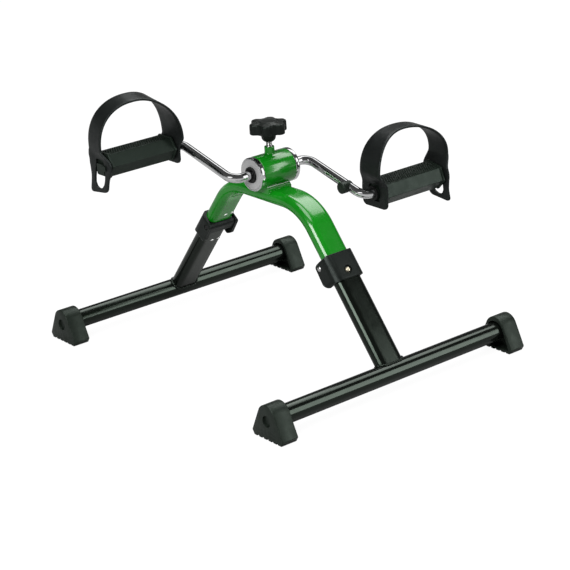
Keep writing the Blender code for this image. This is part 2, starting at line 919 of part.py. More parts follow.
def make_leg(name, side, frame):
    pin = frame @ p(0, PIN_S, PIN_O)
    pivot_at = frame.copy()
    pivot_at.translation = pin
    pivot = empty(f"{name}_leg_pivot", pivot_at)
    base = Matrix.Translation(p(0, side * FLOOR_Y, FLOOR_Z))
    floor = Matrix.Translation(p(0, side * FLOOR_Y, 0))

    put(
        f"floor_tube_{name}",
        finish_mesh(
            shape(
                lambda bm: turned(
                    bm,
                    [
                        (-195.8, FLOOR_R),
                        (195.8, FLOOR_R),
                        (195.8, FLOOR_R - TUBE_WALL),
                        (-195.8, FLOOR_R - TUBE_WALL),
                    ],
                    "X",
                    28,
                )
            ),
            f"floor_tube_{name}",
            BLACK_PAINT,
        ),
        pivot,
        base,
    )
    for end, word in ((-1, "left"), (1, "right")):
        foot = put(
            f"foot_{name}_{word}",
            finish_mesh(
                shape(
                    lambda bm: prism(
                        bm,
                        foot_outline(),
                        FLOOR_HALF_LENGTH - FOOT_LENGTH,
                        FLOOR_HALF_LENGTH,
                        "X",
                    )
                ),
                f"foot_{name}_{word}",
                RUBBER,
            ),
            pivot,
            floor @ Matrix.Rotation(math.pi if end < 0 else 0, 4, "Z"),
        )
        cut(
            foot,
            lambda bm: prism(bm, foot_hollow(), 150, FLOOR_HALF_LENGTH - FOOT_SEAT, "X"),
        )
        cut(
            foot,
            lambda bm: cylinder(
                bm,
                "X",
                150,
                FLOOR_HALF_LENGTH - FOOT_WALL,
                FLOOR_R + 0.3,
                across=(0, FLOOR_Z),
                segments=28,
            ),
        )

    def leg_loops(width, thick):
        return [
            [p(a, s, b) for a, b in oval(width, thick)] for s in (3.0, UPRIGHT_END)
        ]

    upright = put(
        f"upright_{name}",
        finish_mesh(
            shape(
                lambda bm: hollow(
                    bm,
                    leg_loops(OVAL_W, OVAL_T),
                    leg_loops(OVAL_W - 2 * TUBE_WALL, OVAL_T - 2 * TUBE_WALL),
                )
            ),
            f"upright_{name}",
            BLACK_PAINT,
        ),
        pivot,
        frame,
    )
    cut(upright, lambda bm: cylinder(bm, "X", -40, 40, FLOOR_R + 0.3, segments=36))
    cut(
        upright,
        lambda bm: cylinder(bm, "Z", 3, 20, BUTTON_R + 0.3, across=(0, BUTTON_S)),
    )

    plug_w, plug_t = OVAL_W - 2 * TUBE_WALL - 0.6, OVAL_T - 2 * TUBE_WALL - 0.6

    def leg_prism(bm, outline, low, high):
        prism(bm, [(b, a) for a, b in outline], low, high, "Y")

    tongue = put(
        f"hinge_tongue_{name}",
        finish_mesh(
            shape(lambda bm: leg_prism(bm, oval(plug_w, plug_t), 100, 147)),
            f"hinge_tongue_{name}",
            PLASTIC,
        ),
        pivot,
        frame,
    )
    join(tongue, lambda bm: leg_prism(bm, oval(OVAL_W - 0.4, OVAL_T - 0.3), UPRIGHT_END + 0.4, 150))
    join(tongue, lambda bm: block(bm, (-19.3, 145.2, PIN_O - 5.9), (19.3, PIN_S, PIN_O + 5.9)))
    join(
        tongue,
        lambda bm: cylinder(bm, "X", -19.3, 19.3, 6.0, across=(PIN_S, PIN_O)),
    )
    cut(tongue, lambda bm: cylinder(bm, "X", -30, 30, PIN_R + 0.3, across=(PIN_S, PIN_O)))
    cut(tongue, lambda bm: cylinder(bm, "Z", -3, 20, 5.0, across=(0, BUTTON_S)))

    button_axis = empty(
        f"snap_button_{name}_axis", frame @ Matrix.Translation(p(0, BUTTON_S, 9)), pivot
    )
    put(
        f"snap_button_{name}",
        finish_mesh(
            shape(
                lambda bm: turned(
                    bm,
                    [
                        (13.7, 0.0),
                        (13.5, 1.3),
                        (12.9, 2.5),
                        (12.2, BUTTON_R),
                        (7.3, BUTTON_R),
                        (7.3, 4.6),
                        (4.8, 4.6),
                        (4.8, 0.0),
                    ],
                    "Z",
                    24,
                    closed=False,
                )
            ),
            f"snap_button_{name}",
            ZINC,
        ),
        button_axis,
        frame @ Matrix.Translation(p(0, BUTTON_S, 0)),
    )
    turns, low, high = 4, -2.5, 4.3
    coil = [
        Vector(
            (
                3.1 * math.cos(math.tau * turns * k / 44),
                3.1 * math.sin(math.tau * turns * k / 44),
                low + (high - low) * k / 44,
            )
        )
        for k in range(45)
    ]
    put(
        f"snap_spring_{name}",
        bar(f"snap_spring_{name}", coil, 0.35, STEEL, 1),
        pivot,
        frame @ Matrix.Translation(p(0, BUTTON_S, 0)),
    )


def make_hinge(name, frame):
    """The housing fixed in the end of the arch, and its pin."""
    plug_w, plug_t = OVAL_W - 2 * TUBE_WALL - 0.6, OVAL_T - 2 * TUBE_WALL - 0.6
    gap = 0.7

    def leg_prism(bm, outline, low, high):
        prism(bm, [(b, a) for a, b in outline], low, high, "Y")

    side = rounded(
        [
            (BRACKET_LOW, BRACKET_OUT),
            (BRACKET_LOW, EAR_IN + 5.0),
            (BRACKET_LOW + 8.0, EAR_IN - 0.5),
            (BRACKET_HIGH - 2.5, EAR_IN + 1.5),
            (BRACKET_HIGH, EAR_IN + 14.0),
            (BRACKET_HIGH, BRACKET_OUT),
        ],
        [2.5, 6.0, 6.0, 5.0, 6.0, 2.5],
    )
    bracket = put(
        f"hinge_bracket_{name}",
        finish_mesh(
            shape(lambda bm: prism(bm, side, -BRACKET_HALF, BRACKET_HALF, "X")),
            f"hinge_bracket_{name}",
            PLASTIC,
        ),
        None,
        frame,
    )
    hull = rounded(
        [
            (BRACKET_HALF - 0.05, -30.0),
            (BRACKET_HALF - 0.05, BRACKET_OUT - 0.05),
            (-BRACKET_HALF + 0.05, BRACKET_OUT - 0.05),
            (-BRACKET_HALF + 0.05, -30.0),
        ],
        [0.0, BRACKET_ROUND, BRACKET_ROUND, 0.0],
        steps=8,
    )
    tool(bracket, "INTERSECT", shape(lambda bm: leg_prism(bm, hull, 100, 200)))
    edge, low, high = BRACKET_HALF - 0.1, BRACKET_LOW + 0.05, BRACKET_HIGH - 0.05
    outer = rounded(
        [(-edge, low), (edge, low), (edge, high), (-edge, high)], BRACKET_CORNER
    )
    tool(bracket, "INTERSECT", shape(lambda bm: prism(bm, outer, -60, 60, "Z")))
    cut(bracket, lambda bm: leg_prism(bm, oval(OVAL_W + gap, OVAL_T + gap), 100, 157.5))
    cut(
        bracket,
        lambda bm: block(bm, (-19.85, 100, -40), (19.85, 200, -1.5)),
    )
    cut(
        bracket,
        lambda bm: leg_prism(bm, oval(OVAL_W + gap, OVAL_T + gap), TUBE_END - 0.35, 200),
    )
    join(bracket, lambda bm: leg_prism(bm, oval(plug_w, plug_t), 161.1, 188))
    join(bracket, lambda bm: block(bm, (-9, 158.5, -1.3), (9, 166, 6.4)))
    cut(
        bracket,
        lambda bm: cylinder(
            bm, "Z", 9.0, 13.2, 7.0, across=(0, BUTTON_S), radius2=3.3
        ),
    )
    cut(
        bracket,
        lambda bm: cylinder(bm, "X", -40, 40, PIN_R + 0.3, across=(PIN_S, PIN_O)),
    )
    # the pin's head stands on one side, its other end is sunk in a counterbore
    cut(
        bracket,
        lambda bm: cylinder(
            bm, "X", BRACKET_HALF - 1.3, 40, 4.2, across=(PIN_S, PIN_O)
        ),
    )
    half = BRACKET_HALF + 0.2
    put(
        f"hinge_pin_{name}",
        finish_mesh(
            shape(
                lambda bm: turned(
                    bm,
                    [
                        (-half - 1.9, 0.0),
                        (-half - 1.6, 2.4),
                        (-half - 0.6, 4.4),
                        (-half, 4.6),
                        (-half, PIN_R),
                        (BRACKET_HALF - 0.9, PIN_R),
                        (BRACKET_HALF - 0.5, PIN_R - 0.4),
                        (BRACKET_HALF - 0.5, 0.0),
                    ],
                    "X",
                    20,
                    closed=False,
                )
            ),
            f"hinge_pin_{name}",
            STEEL,
        ),
        None,
        frame @ Matrix.Translation(p(0, PIN_S, PIN_O)),
    )


for leg_name, leg_side, leg_frame in (("front", 1, FRONT), ("rear", -1, REAR)):
    make_leg(leg_name, leg_side, leg_frame)
    make_hinge(leg_name, leg_frame)
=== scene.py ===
"""Looks of the folding pedal exerciser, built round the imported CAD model.

Lengths are in millimetres and are turned into metres when points are made. The frame is
the CAD's: +Z up, X along the crank axle, front is +Y, rear is -Y, left is -X, right is +X.
"""

import json
import math

import bmesh
import bpy
from mathutils import Matrix, Vector

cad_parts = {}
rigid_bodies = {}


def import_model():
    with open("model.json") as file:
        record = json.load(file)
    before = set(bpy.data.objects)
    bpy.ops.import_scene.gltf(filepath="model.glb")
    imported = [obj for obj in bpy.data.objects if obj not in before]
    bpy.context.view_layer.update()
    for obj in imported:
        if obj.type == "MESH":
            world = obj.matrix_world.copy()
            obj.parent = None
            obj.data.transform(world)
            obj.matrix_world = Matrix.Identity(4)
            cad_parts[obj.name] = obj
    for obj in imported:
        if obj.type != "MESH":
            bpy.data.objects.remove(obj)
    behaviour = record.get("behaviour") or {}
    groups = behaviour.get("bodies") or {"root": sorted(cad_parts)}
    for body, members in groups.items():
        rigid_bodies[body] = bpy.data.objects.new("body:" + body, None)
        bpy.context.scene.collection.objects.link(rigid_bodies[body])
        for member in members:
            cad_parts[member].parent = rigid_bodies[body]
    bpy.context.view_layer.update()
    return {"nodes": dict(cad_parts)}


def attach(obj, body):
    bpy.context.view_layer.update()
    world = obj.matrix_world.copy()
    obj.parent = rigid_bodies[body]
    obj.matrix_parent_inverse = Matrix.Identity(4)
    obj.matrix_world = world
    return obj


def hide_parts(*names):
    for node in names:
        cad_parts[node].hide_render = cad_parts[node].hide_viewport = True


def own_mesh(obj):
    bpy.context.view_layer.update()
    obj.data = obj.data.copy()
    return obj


for ob in list(bpy.data.objects):
    bpy.data.objects.remove(ob, do_unlink=True)

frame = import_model()
nodes = frame["nodes"]
MM = 0.001

# ------------------------------------------------ dimensions, as in the CAD

FLOOR_END, FLOOR_Y, FLOOR_Z, FLOOR_R = 200.0, 220.5, 25.0, 12.5
FOOT_LENGTH, FOOT_TOP_R, FOOT_TOP_Z = 24.0, 16.6, 28.4
FOOT_WIDE, FOOT_SOLE = 29.0, 25.3
LEG_TILT = math.radians(38.6)
OVAL_W, OVAL_T = 39.0, 18.5
ARCH_Z, ARCH_R = 210.0, 70.0
BRACKET_LOW, BRACKET_HIGH, BRACKET_HALF, BRACKET_OUT, EAR_IN = 127.0, 163.5, 24.5, 12.6, -16.5
TUBE_END, UPRIGHT_END = 161.6, 144.5
PIN_S, PIN_O, PIN_R = 154.5, -8.4, 3.0
BUTTON_S, BUTTON_R = 138.0, 3.2
HUB_Z, HUB_R, HUB_BORE, HUB_HALF, CAP_FACE = 240.5, 22.0, 19.0, 25.0, 31.5
BOSS_R, BOSS_TOP, STUD_R = 6.5, 271.5, 4.0
KNOB_R, KNOB_LOBES, KNOB_WAVE, KNOB_TURN = 22.2, 6, 2.6, math.radians(44)
KNOB_LOW, KNOB_TOP, NECK_LOW = 289.7, 304.7, 278.0
ROD_R, ARM_X, ARM_LENGTH, BEND_R = 6.0, 61.2, 112.0, 14.0
ARM_ANGLE = math.radians(14.4)
PEDAL_X, PEDAL_HALF = 132.2, 49.8
PEDAL_FLAT, PEDAL_WIDE, PEDAL_HIGH = 12.2, 21.2, 14.4
PLATE_IN, PLATE_OUT, SPINDLE_END = 46.8, 49.8, 42.0
LEFT_ROLL, RIGHT_ROLL = math.radians(-1.1), math.radians(11.5)
YOKE_WIDE, YOKE_TAIL = 24.3, 19.6
STRAP_TOP, STRAP_INNER = 12.0, 22.2
STRAP_T, INNER_LOW = 2.8, -19.3
# how each strap lies: x at its ends, loop half widths, height of the widest point and rise
# above it, roundness, lean outward, half width of the outer side, then y and twist at the
# outer side, top and inner side
STRAPS = {
    "left": dict(
        base=52.4, inner=53.0, out=53.0, inn=53.7, low=17.8, rise=59.8, curve=0.89,
        skew=3.1, side=16.4, drift=(9.6, -2.7, -9.9), twist=(-7.4, 13.4, -1.3),
        tail=-37.6, shift=0.4, hang=0.25, slant=-0.13, lug=(-7.9, 7.5),
    ),
    "right": dict(
        base=52.4, inner=51.6, out=60.0, inn=60.0, low=28.2, rise=44.0, curve=0.88,
        skew=2.1, side=18.6, drift=(1.0, 12.4, -1.2), twist=(2.0, 0.5, -8.0),
        tail=-31.0, shift=-1.9, hang=-0.25, slant=0.10, lug=(-11.6, 6.0),
    ),
}

# ------------------------------------------------------------------- camera


def make_camera():
    az, el, roll = math.radians(-37.87), math.radians(20.843), math.radians(-3.525)
    back = Vector(
        (math.sin(az) * math.cos(el), -math.cos(az) * math.cos(el), math.sin(el))
    )
    right = (-back).cross(Vector((0, 0, 1))).normalized()
    up = right.cross(-back)
    c, s = math.cos(roll), math.sin(roll)
    right, up = right * c + up * s, up * c - right * s
    data = bpy.data.cameras.new("camera")
    data.lens = 36.0 * 1915.2 / 570.0
    data.sensor_width = 36.0
    data.clip_start, data.clip_end = 0.1, 50.0
    cam = bpy.data.objects.new("camera", data)
    m = Matrix((right, up, back)).transposed().to_4x4()
    m.translation = Vector((-1.42784, -1.85106, 0.97135))
    cam.matrix_world = m
    bpy.context.scene.collection.objects.link(cam)
    bpy.context.scene.camera = cam


make_camera()

# ---------------------------------------------------------------- materials


class Shader:
    """A Principled material with a few helpers for procedural detail."""

    def __init__(self, name, colour, roughness, metallic=0.0):
        self.m = bpy.data.materials.new(name)
        self.m.use_nodes = True
        self.t = self.m.node_tree
        self.b = self.t.nodes["Principled BSDF"]
        self.b.inputs["Base Color"].default_value = (*colour, 1.0)
        self.b.inputs["Roughness"].default_value = roughness
        self.b.inputs["Metallic"].default_value = metallic
        self.at = self.new("ShaderNodeTexCoord").outputs["Object"]

    def new(self, kind, **inputs):
        n = self.t.nodes.new(kind)
        for k, v in inputs.items():
            n.inputs[k].default_value = v
        return n

    def link(self, a, b):
        self.t.links.new(a, b)

    def noise(self, scale, detail=3.0, rough=0.55, stretch=None, offset=(0, 0, 0)):
        n = self.new("ShaderNodeTexNoise", Scale=scale, Detail=detail, Roughness=rough)
        move = self.new("ShaderNodeMapping")
        move.inputs["Location"].default_value = offset
        move.inputs["Scale"].default_value = stretch or (1, 1, 1)
        self.link(self.at, move.inputs["Vector"])
        self.link(move.outputs["Vector"], n.inputs["Vector"])
        return n.outputs["Fac"]

    def ramp(self, fac, stops):
        r = self.new("ShaderNodeValToRGB")
        e = r.color_ramp.elements
        while len(e) < len(stops):
            e.new(0.5)
        for item, (pos, colour) in zip(e, stops):
            item.position = pos
            item.color = (*colour, 1.0) if hasattr(colour, "__len__") else (colour,) * 3 + (1.0,)
        self.link(fac, r.inputs["Fac"])
        return r.outputs["Color"]

    def colour(self, fac, stops):
        self.link(self.ramp(fac, stops), self.b.inputs["Base Color"])

    def roughness(self, fac, low, high):
        self.link(
            self.ramp(fac, [(0.3, low), (0.7, high)]), self.b.inputs["Roughness"]
        )

    def bump(self, fac, strength, distance, under=None):
        n = self.new("ShaderNodeBump", Strength=strength, Distance=distance)
        self.link(fac, n.inputs["Height"])
        if under is not None:
            self.link(under, n.inputs["Normal"])
        self.link(n.outputs["Normal"], self.b.inputs["Normal"])
        return n.outputs["Normal"]

    def coat(self, weight, roughness):
        self.b.inputs["Coat Weight"].default_value = weight
        self.b.inputs["Coat Roughness"].default_value = roughness


def paint(name, dark, light, low, high, specular, coat):
    s = Shader(name, light, low)
    s.b.inputs["Specular IOR Level"].default_value = specular
    s.colour(s.noise(22.0, 4.0), [(0.32, dark), (0.68, light)])
    s.roughness(s.noise(60.0, 3.0, offset=(3, 1, 2)), low, high)
    peel = s.bump(s.noise(420.0, 2.0, 0.5), 0.02, 0.0002)
    s.bump(s.noise(2600.0, 1.0, 0.5, offset=(5, 5, 5)), 0.008, 0.0001, peel)
    s.coat(coat, 0.05)
    return s.m


def moulded(name, dark, light, low, high, grain, depth, specular=0.5):
    s = Shader(name, light, low)
    s.b.inputs["Specular IOR Level"].default_value = specular
    s.colour(s.noise(35.0, 5.0), [(0.30, dark), (0.70, light)])
    s.roughness(s.noise(90.0, 4.0, offset=(2, 4, 1)), low, high)
    fine = s.bump(s.noise(grain, 2.0, 0.6), depth, 0.0003)
    s.bump(s.noise(140.0, 2.0, 0.5, offset=(7, 3, 9)), 0.06, 0.0006, fine)
    return s.m


def metal(name, dark, light, low, high, scratch=0.05, stretch=(4, 1, 1), grain=900.0, metallic=1.0):
    s = Shader(name, light, low, metallic)
    s.colour(s.noise(40.0, 4.0), [(0.30, dark), (0.70, light)])
    s.roughness(s.noise(120.0, 4.0, offset=(1, 6, 2)), low, high)
    s.bump(s.noise(grain, 3.0, 0.6, stretch=stretch), scratch, 0.0002)
    return s.m


GREEN = paint("green_enamel", (0.0023, 0.140, 0.0040), (0.0034, 0.172, 0.0054), 0.15, 0.22, 0.42, 0.20)
BLACK = paint("black_enamel", (0.0020, 0.0026, 0.0021), (0.0034, 0.0042, 0.0035), 0.12, 0.18, 0.24, 0.02)
CHROME = metal("chrome", (0.62, 0.63, 0.64), (0.70, 0.70, 0.70), 0.07, 0.12, 0.02)
DISC = metal("zinc_disc", (0.34, 0.34, 0.345), (0.42, 0.42, 0.42), 0.42, 0.55, 0.10, (1, 1, 1), 1500.0, 0.35)
PIN = metal("rivet_steel", (0.50, 0.50, 0.50), (0.58, 0.58, 0.57), 0.24, 0.32, 0.02, (1, 1, 1), 700.0)
STEEL = metal("steel", (0.42, 0.42, 0.42), (0.54, 0.54, 0.53), 0.22, 0.36, 0.08)
# bright steel for the punched crimp marks, a painted glint standing for the light their dimples catch
GLINT_STEEL = metal("crimp_glint_steel", (0.78, 0.79, 0.77), (0.90, 0.91, 0.89), 0.20, 0.32, 0.06, metallic=0.5)
ZINC = metal("yellow_zinc", (0.60, 0.54, 0.40), (0.74, 0.69, 0.54), 0.18, 0.32, 0.08, (1, 1, 1), metallic=0.8)
HOUSING = moulded("housing_plastic", (0.0040, 0.0052, 0.0046), (0.0070, 0.0084, 0.0076), 0.34, 0.46, 1500.0, 0.10, 0.16)
KNOB = moulded("knob_plastic", (0.0030, 0.0040, 0.0034), (0.0062, 0.0076, 0.0066), 0.30, 0.42, 1700.0, 0.12, 0.15)
PEDAL = moulded("pedal_plastic", (0.0048, 0.0076, 0.0056), (0.0090, 0.0130, 0.0100), 0.32, 0.44, 1300.0, 0.12, 0.18)
STRAP = moulded("strap_rubber", (0.0036, 0.0043, 0.0041), (0.0066, 0.0076, 0.0072), 0.36, 0.48, 1900.0, 0.12, 0.20)
RUBBER = moulded("foot_rubber", (0.0052, 0.0074, 0.0056), (0.0096, 0.0126, 0.0102), 0.36, 0.50, 1100.0, 0.14, 0.24)
BUSH = moulded("bush_plastic", (0.0030, 0.0032, 0.0031), (0.0054, 0.0056, 0.0055), 0.40, 0.52, 1500.0, 0.10, 0.2)
NYLON = moulded("nylon", (0.52, 0.50, 0.44), (0.62, 0.60, 0.54), 0.40, 0.52, 900.0, 0.10)

# ------------------------------------------------------------ shape helpers

# the blacks shine faintly green
for black, tint in (
    (BLACK, (0.78, 1.0, 0.82)),
    (PEDAL, (0.78, 1.0, 0.86)),
    (RUBBER, (0.80, 1.0, 0.85)),
    (HOUSING, (0.86, 1.0, 0.94)),
    (KNOB, (0.86, 1.0, 0.92)),
    (STRAP, (0.88, 1.0, 0.98)),
):
    for node in black.node_tree.nodes:
        if node.type == "BSDF_PRINCIPLED":
            node.inputs["Specular Tint"].default_value = (*tint, 1.0)


def p(x, y, z):
    return Vector((x * MM, y * MM, z * MM))


def along(axis, h, a, b):
    return {"X": p(h, a, b), "Y": p(b, h, a), "Z": p(a, b, h)}[axis]


def skin(bm, loops, ends=True, closed=False):
    rows = [[bm.verts.new(v) for v in loop] for loop in loops]
    n = len(rows[0])
    pairs = list(zip(rows, rows[1:])) + ([(rows[-1], rows[0])] if closed else [])
    for a, b in pairs:
        for i in range(n):
            j = (i + 1) % n
            bm.faces.new((a[i], a[j], b[j], b[i]))
    if ends and not closed:
        bm.faces.new(rows[0])
        bm.faces.new(rows[-1])


def prism(bm, outline, low, high, axis):
    skin(bm, [[along(axis, h, a, b) for a, b in outline] for h in (low, high)])


def block(bm, low, high):
    prism(
        bm,
        [(low[1], low[2]), (high[1], low[2]), (high[1], high[2]), (low[1], high[2])],
        low[0],
        high[0],
        "X",
    )


def cylinder(bm, axis, low, high, radius, across=(0.0, 0.0), segments=48, radius2=None):
    loops = []
    for h, r in ((low, radius), (high, radius if radius2 is None else radius2)):
        loops.append(
            [
                along(
                    axis,
                    h,
                    across[0] + r * math.cos(math.tau * i / segments),
                    across[1] + r * math.sin(math.tau * i / segments),
                )
                for i in range(segments)
            ]
        )
    skin(bm, loops)


def turned(bm, profile, axis, segments, closed=True, origin=(0, 0, 0)):
    """A profile of (along, radius) points spun about an axis through the origin."""
    verts = [bm.verts.new(along(axis, h, r, 0)) for h, r in profile]
    edges = [bm.edges.new(pair) for pair in zip(verts, verts[1:])]
    if closed:
        edges.append(bm.edges.new((verts[-1], verts[0])))
    bmesh.ops.spin(
        bm,
        geom=verts + edges,
        cent=(0, 0, 0),
        axis=along(axis, 1, 0, 0).normalized(),
        angle=math.tau,
        steps=segments,
        use_merge=True,
    )
    bmesh.ops.remove_doubles(bm, verts=bm.verts, dist=1e-7)


def rounded(points, radius, steps=5, closed=True):
    """An outline with its corners rounded; radius is one number or one per corner."""
    out = []
    n = len(points)
    for i in range(n):
        r = radius[i] if isinstance(radius, (list, tuple)) else radius
        here = Vector(points[i])
        if r <= 0 or (not closed and i in (0, n - 1)):
            out.append(tuple(here))
            continue
        a = (Vector(points[i - 1]) - here).normalized()
        b = (Vector(points[(i + 1) % n]) - here).normalized()
        half = a.angle(b) / 2
        centre = here + (a + b).normalized() * (r / math.sin(half))
        start = here + a * (r / math.tan(half)) - centre
        end = here + b * (r / math.tan(half)) - centre
        t0 = math.atan2(start.y, start.x)
        turn = (math.atan2(end.y, end.x) - t0 + math.pi) % math.tau - math.pi
        for k in range(steps + 1):
            t = t0 + turn * k / steps
            out.append((centre.x + r * math.cos(t), centre.y + r * math.sin(t)))
    return out


def oval(width, thick, steps=18, flat=6):
    """A flat-oval outline with a few points along its flats."""
    r, c = thick / 2, (width - thick) / 2
    pts = []
    for side in (1, -1):
        for i in range(steps + 1):
            t = math.pi * (i / steps - 0.5)
            pts.append((side * (c + r * math.cos(t)), side * r * math.sin(t)))
        for i in range(1, flat):
            pts.append((side * (c - 2 * c * i / flat), side * r))
    return pts


def swept(bm, points, radius, sides=24, closed=False, ref=None, cap=0.0):
    """A round bar along points; radius is a number or a function of the point's index."""
    n = len(points)
    loops = []
    normal = None
    for i, at in enumerate(points):
        a = points[(i - 1) % n if closed else max(i - 1, 0)]
        b = points[(i + 1) % n if closed else min(i + 1, n - 1)]
        t = (b - a).normalized()
        if ref is not None:
            normal = (ref - t * ref.dot(t)).normalized()
        elif normal is None:
            side = Vector((0, 0, 1)) if abs(t.z) < 0.9 else Vector((0, 1, 0))
            normal = (side - t * side.dot(t)).normalized()
        else:
            normal = (normal - t * normal.dot(t)).normalized()
        other = t.cross(normal)
        r = radius(i) if callable(radius) else radius
        loops.append(
            [
                (
                    at
                    + normal * (r * math.cos(math.tau * k / sides))
                    + other * (r * math.sin(math.tau * k / sides))
                )
                * MM
                for k in range(sides)
            ]
        )
    if cap and not closed:  # rounded ends
        first, last = (points[0] - points[1]).normalized(), (points[-1] - points[-2]).normalized()
        for step in (0.5, 0.85, 0.98):
            shrink = 1 - (1 - math.sqrt(1 - step * step)) * cap
            for row, d, at, where in ((loops[0], first, points[0], 0), (loops[-1], last, points[-1], -1)):
                base = at * MM
                new = [base + (v - base) * 1.0 for v in row]
                new = [base + d * (cap * step * MM) + (v - base) * shrink for v in (row0 if where == 0 else row1)] if step > 0.5 else new
                if step == 0.5:
                    if where == 0:
                        row0 = row
                    else:
                        row1 = row
                    new = [base + d * (cap * step * MM) + (v - base) * shrink for v in row]
                if where == 0:
                    loops.insert(0, new)
                else:
                    loops.append(new)
    skin(bm, loops, closed=closed)


def finish_mesh(bm, name):
    bmesh.ops.remove_doubles(bm, verts=bm.verts, dist=1e-7)
    bmesh.ops.recalc_face_normals(bm, faces=bm.faces)
    mesh = bpy.data.meshes.new(name)
    bm.to_mesh(mesh)
    bm.free()
    return mesh


def piece(name, make, material, body, stands_for=(), at=None, sharp=35.0):
    """A new visible piece that rides on a body."""
    bm = bmesh.new()
    make(bm)
    mesh = finish_mesh(bm, name)
    mesh.shade_smooth()
    if sharp is not None:
        mesh.set_sharp_from_angle(angle=math.radians(sharp))
    mesh.materials.append(material)
    ob = bpy.data.objects.new(name, mesh)
    bpy.context.scene.collection.objects.link(ob)
    if at is not None:
        ob.matrix_world = at
    bpy.context.view_layer.update()
    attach(ob, body)
    if stands_for:
        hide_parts(*stands_for)
    return ob


def apply_tools(ob, steps, sharp=35.0):
    """Cuts and joins, applied at once so that no helper stays in the scene."""
    for operation, make in steps:
        bm = bmesh.new()
        make(bm)
        helper = bpy.data.objects.new("helper", finish_mesh(bm, "helper"))
        helper.matrix_world = ob.matrix_world.copy()
        bpy.context.scene.collection.objects.link(helper)
        mod = ob.modifiers.new("tool", "BOOLEAN")
        mod.operation, mod.object, mod.solver = operation, helper, "EXACT"
        bpy.context.view_layer.update()
        graph = bpy.context.evaluated_depsgraph_get()
        made = bpy.data.meshes.new_from_object(ob.evaluated_get(graph))
        ob.modifiers.remove(mod)
        old = ob.data
        keep = list(old.materials)
        ob.data = made
        ob.data.materials.clear()
        for m in keep[:1]:
            ob.data.materials.append(m)
        bpy.data.objects.remove(helper, do_unlink=True)
        bpy.data.meshes.remove(old)
    ob.data.shade_smooth()
    if sharp is not None:
        ob.data.set_sharp_from_angle(angle=math.radians(sharp))


def soften(ob, width, segments=3, angle=40.0):
    """Rounded edges, with flat faces kept flat."""
    ob.data.shade_smooth()
    ob.data.set_sharp_from_angle(angle=math.radians(180))
    mod = ob.modifiers.new("edges", "BEVEL")
    mod.width = width * MM
    mod.segments = segments
    mod.limit_method = "ANGLE"
    mod.angle_limit = math.radians(angle)
    mod.miter_outer = "MITER_ARC"
    mod = ob.modifiers.new("normals", "WEIGHTED_NORMAL")
    mod.weight = 60
    mod.keep_sharp = False


def leg_matrix(side):
    x = Vector((-side, 0, 0))
    s = Vector((0, -side * math.sin(LEG_TILT), math.cos(LEG_TILT)))
    o = Vector((0, side * math.cos(LEG_TILT), math.sin(LEG_TILT)))
    m = Matrix((x, s, o)).transposed().to_4x4()
    m.translation = p(0, side * FLOOR_Y, FLOOR_Z)
    return m


FRONT, REAR = leg_matrix(1), leg_matrix(-1)
AXLE = Matrix.Translation(p(0, 0, HUB_Z))
HALF_TURN = Matrix.Rotation(math.pi, 4, "Z")

# --------------------------------------------------------------- green arch

corner_y = FLOOR_Y - (ARCH_Z - FLOOR_Z) * math.tan(LEG_TILT)
sweep = math.pi / 2 - LEG_TILT
bend_y = corner_y - ARCH_R * math.tan(sweep / 2)


def arch_path():
    half = []
    for k in range(41):
        t = sweep * k / 40
        half.append(
            (bend_y + ARCH_R * math.sin(t), ARCH_Z - ARCH_R + ARCH_R * math.cos(t), t)
        )
    for s in (190.0, 175.0, TUBE_END):
        end = FRONT @ p(0, s, 0)
        half.append((end.y / MM, end.z / MM, sweep))
    return [(-y, z, -t) for y, z, t in reversed(half)] + half


def arch(bm):
    skin(
        bm,
        [
            [p(a, y + b * math.sin(t), z + b * math.cos(t)) for a, b in oval(OVAL_W, OVAL_T)]
            for y, z, t in arch_path()
        ],
    )


piece("arch_tube_skin", arch, GREEN, "frame", ["arch_tube"])


def capsule_mark(bm, x, s, o, length, width, height):
    """A short punched mark lying across the leg on its inner face."""
    loops = []
    for h, k in ((0.3, 1.0), (0.0, 1.0), (-height * 0.6, 0.86), (-height, 0.55)):
        loop = []
        for a, b in oval(length * (0.5 + 0.5 * k) , width * k, 8, 2):
            loop.append(p(x + a, s + b, o + h))
        loops.append(loop)
    skin(bm, loops)


for name, at, body in (("front", FRONT, "frame"), ("rear", REAR, "frame")):
    side = -1 if name == "front" else 1

    def marks(bm, s, side=side):
        for x in (0.3, 11.5):
            drop = 0.0 if abs(x) < 10.2 else 9.25 - math.sqrt(9.25**2 - (abs(x) - 10.25) ** 2)
            capsule_mark(bm, side * x, s, -9.25 + drop, 5.8, 2.5, 0.55)

    # the punched marks are real; their bright steel colour is a painted glint on the dimples
    piece(f"crimp_arch_{name}", lambda bm: marks(bm, 174.0), GLINT_STEEL, "frame", at=at)
    piece(f"crimp_leg_{name}", lambda bm: marks(bm, 117.0), GLINT_STEEL, f"{name}_leg", at=at)

# ---------------------------------------------------------------------- hub


def barrel(bm):
    turned(
        bm,
        rounded(
            [(-HUB_HALF, HUB_BORE), (HUB_HALF, HUB_BORE), (HUB_HALF, HUB_R), (-HUB_HALF, HUB_R)],
            [0.3, 0.3, 0.7, 0.7],
            3,
        ),
        "X",
        96,
    )


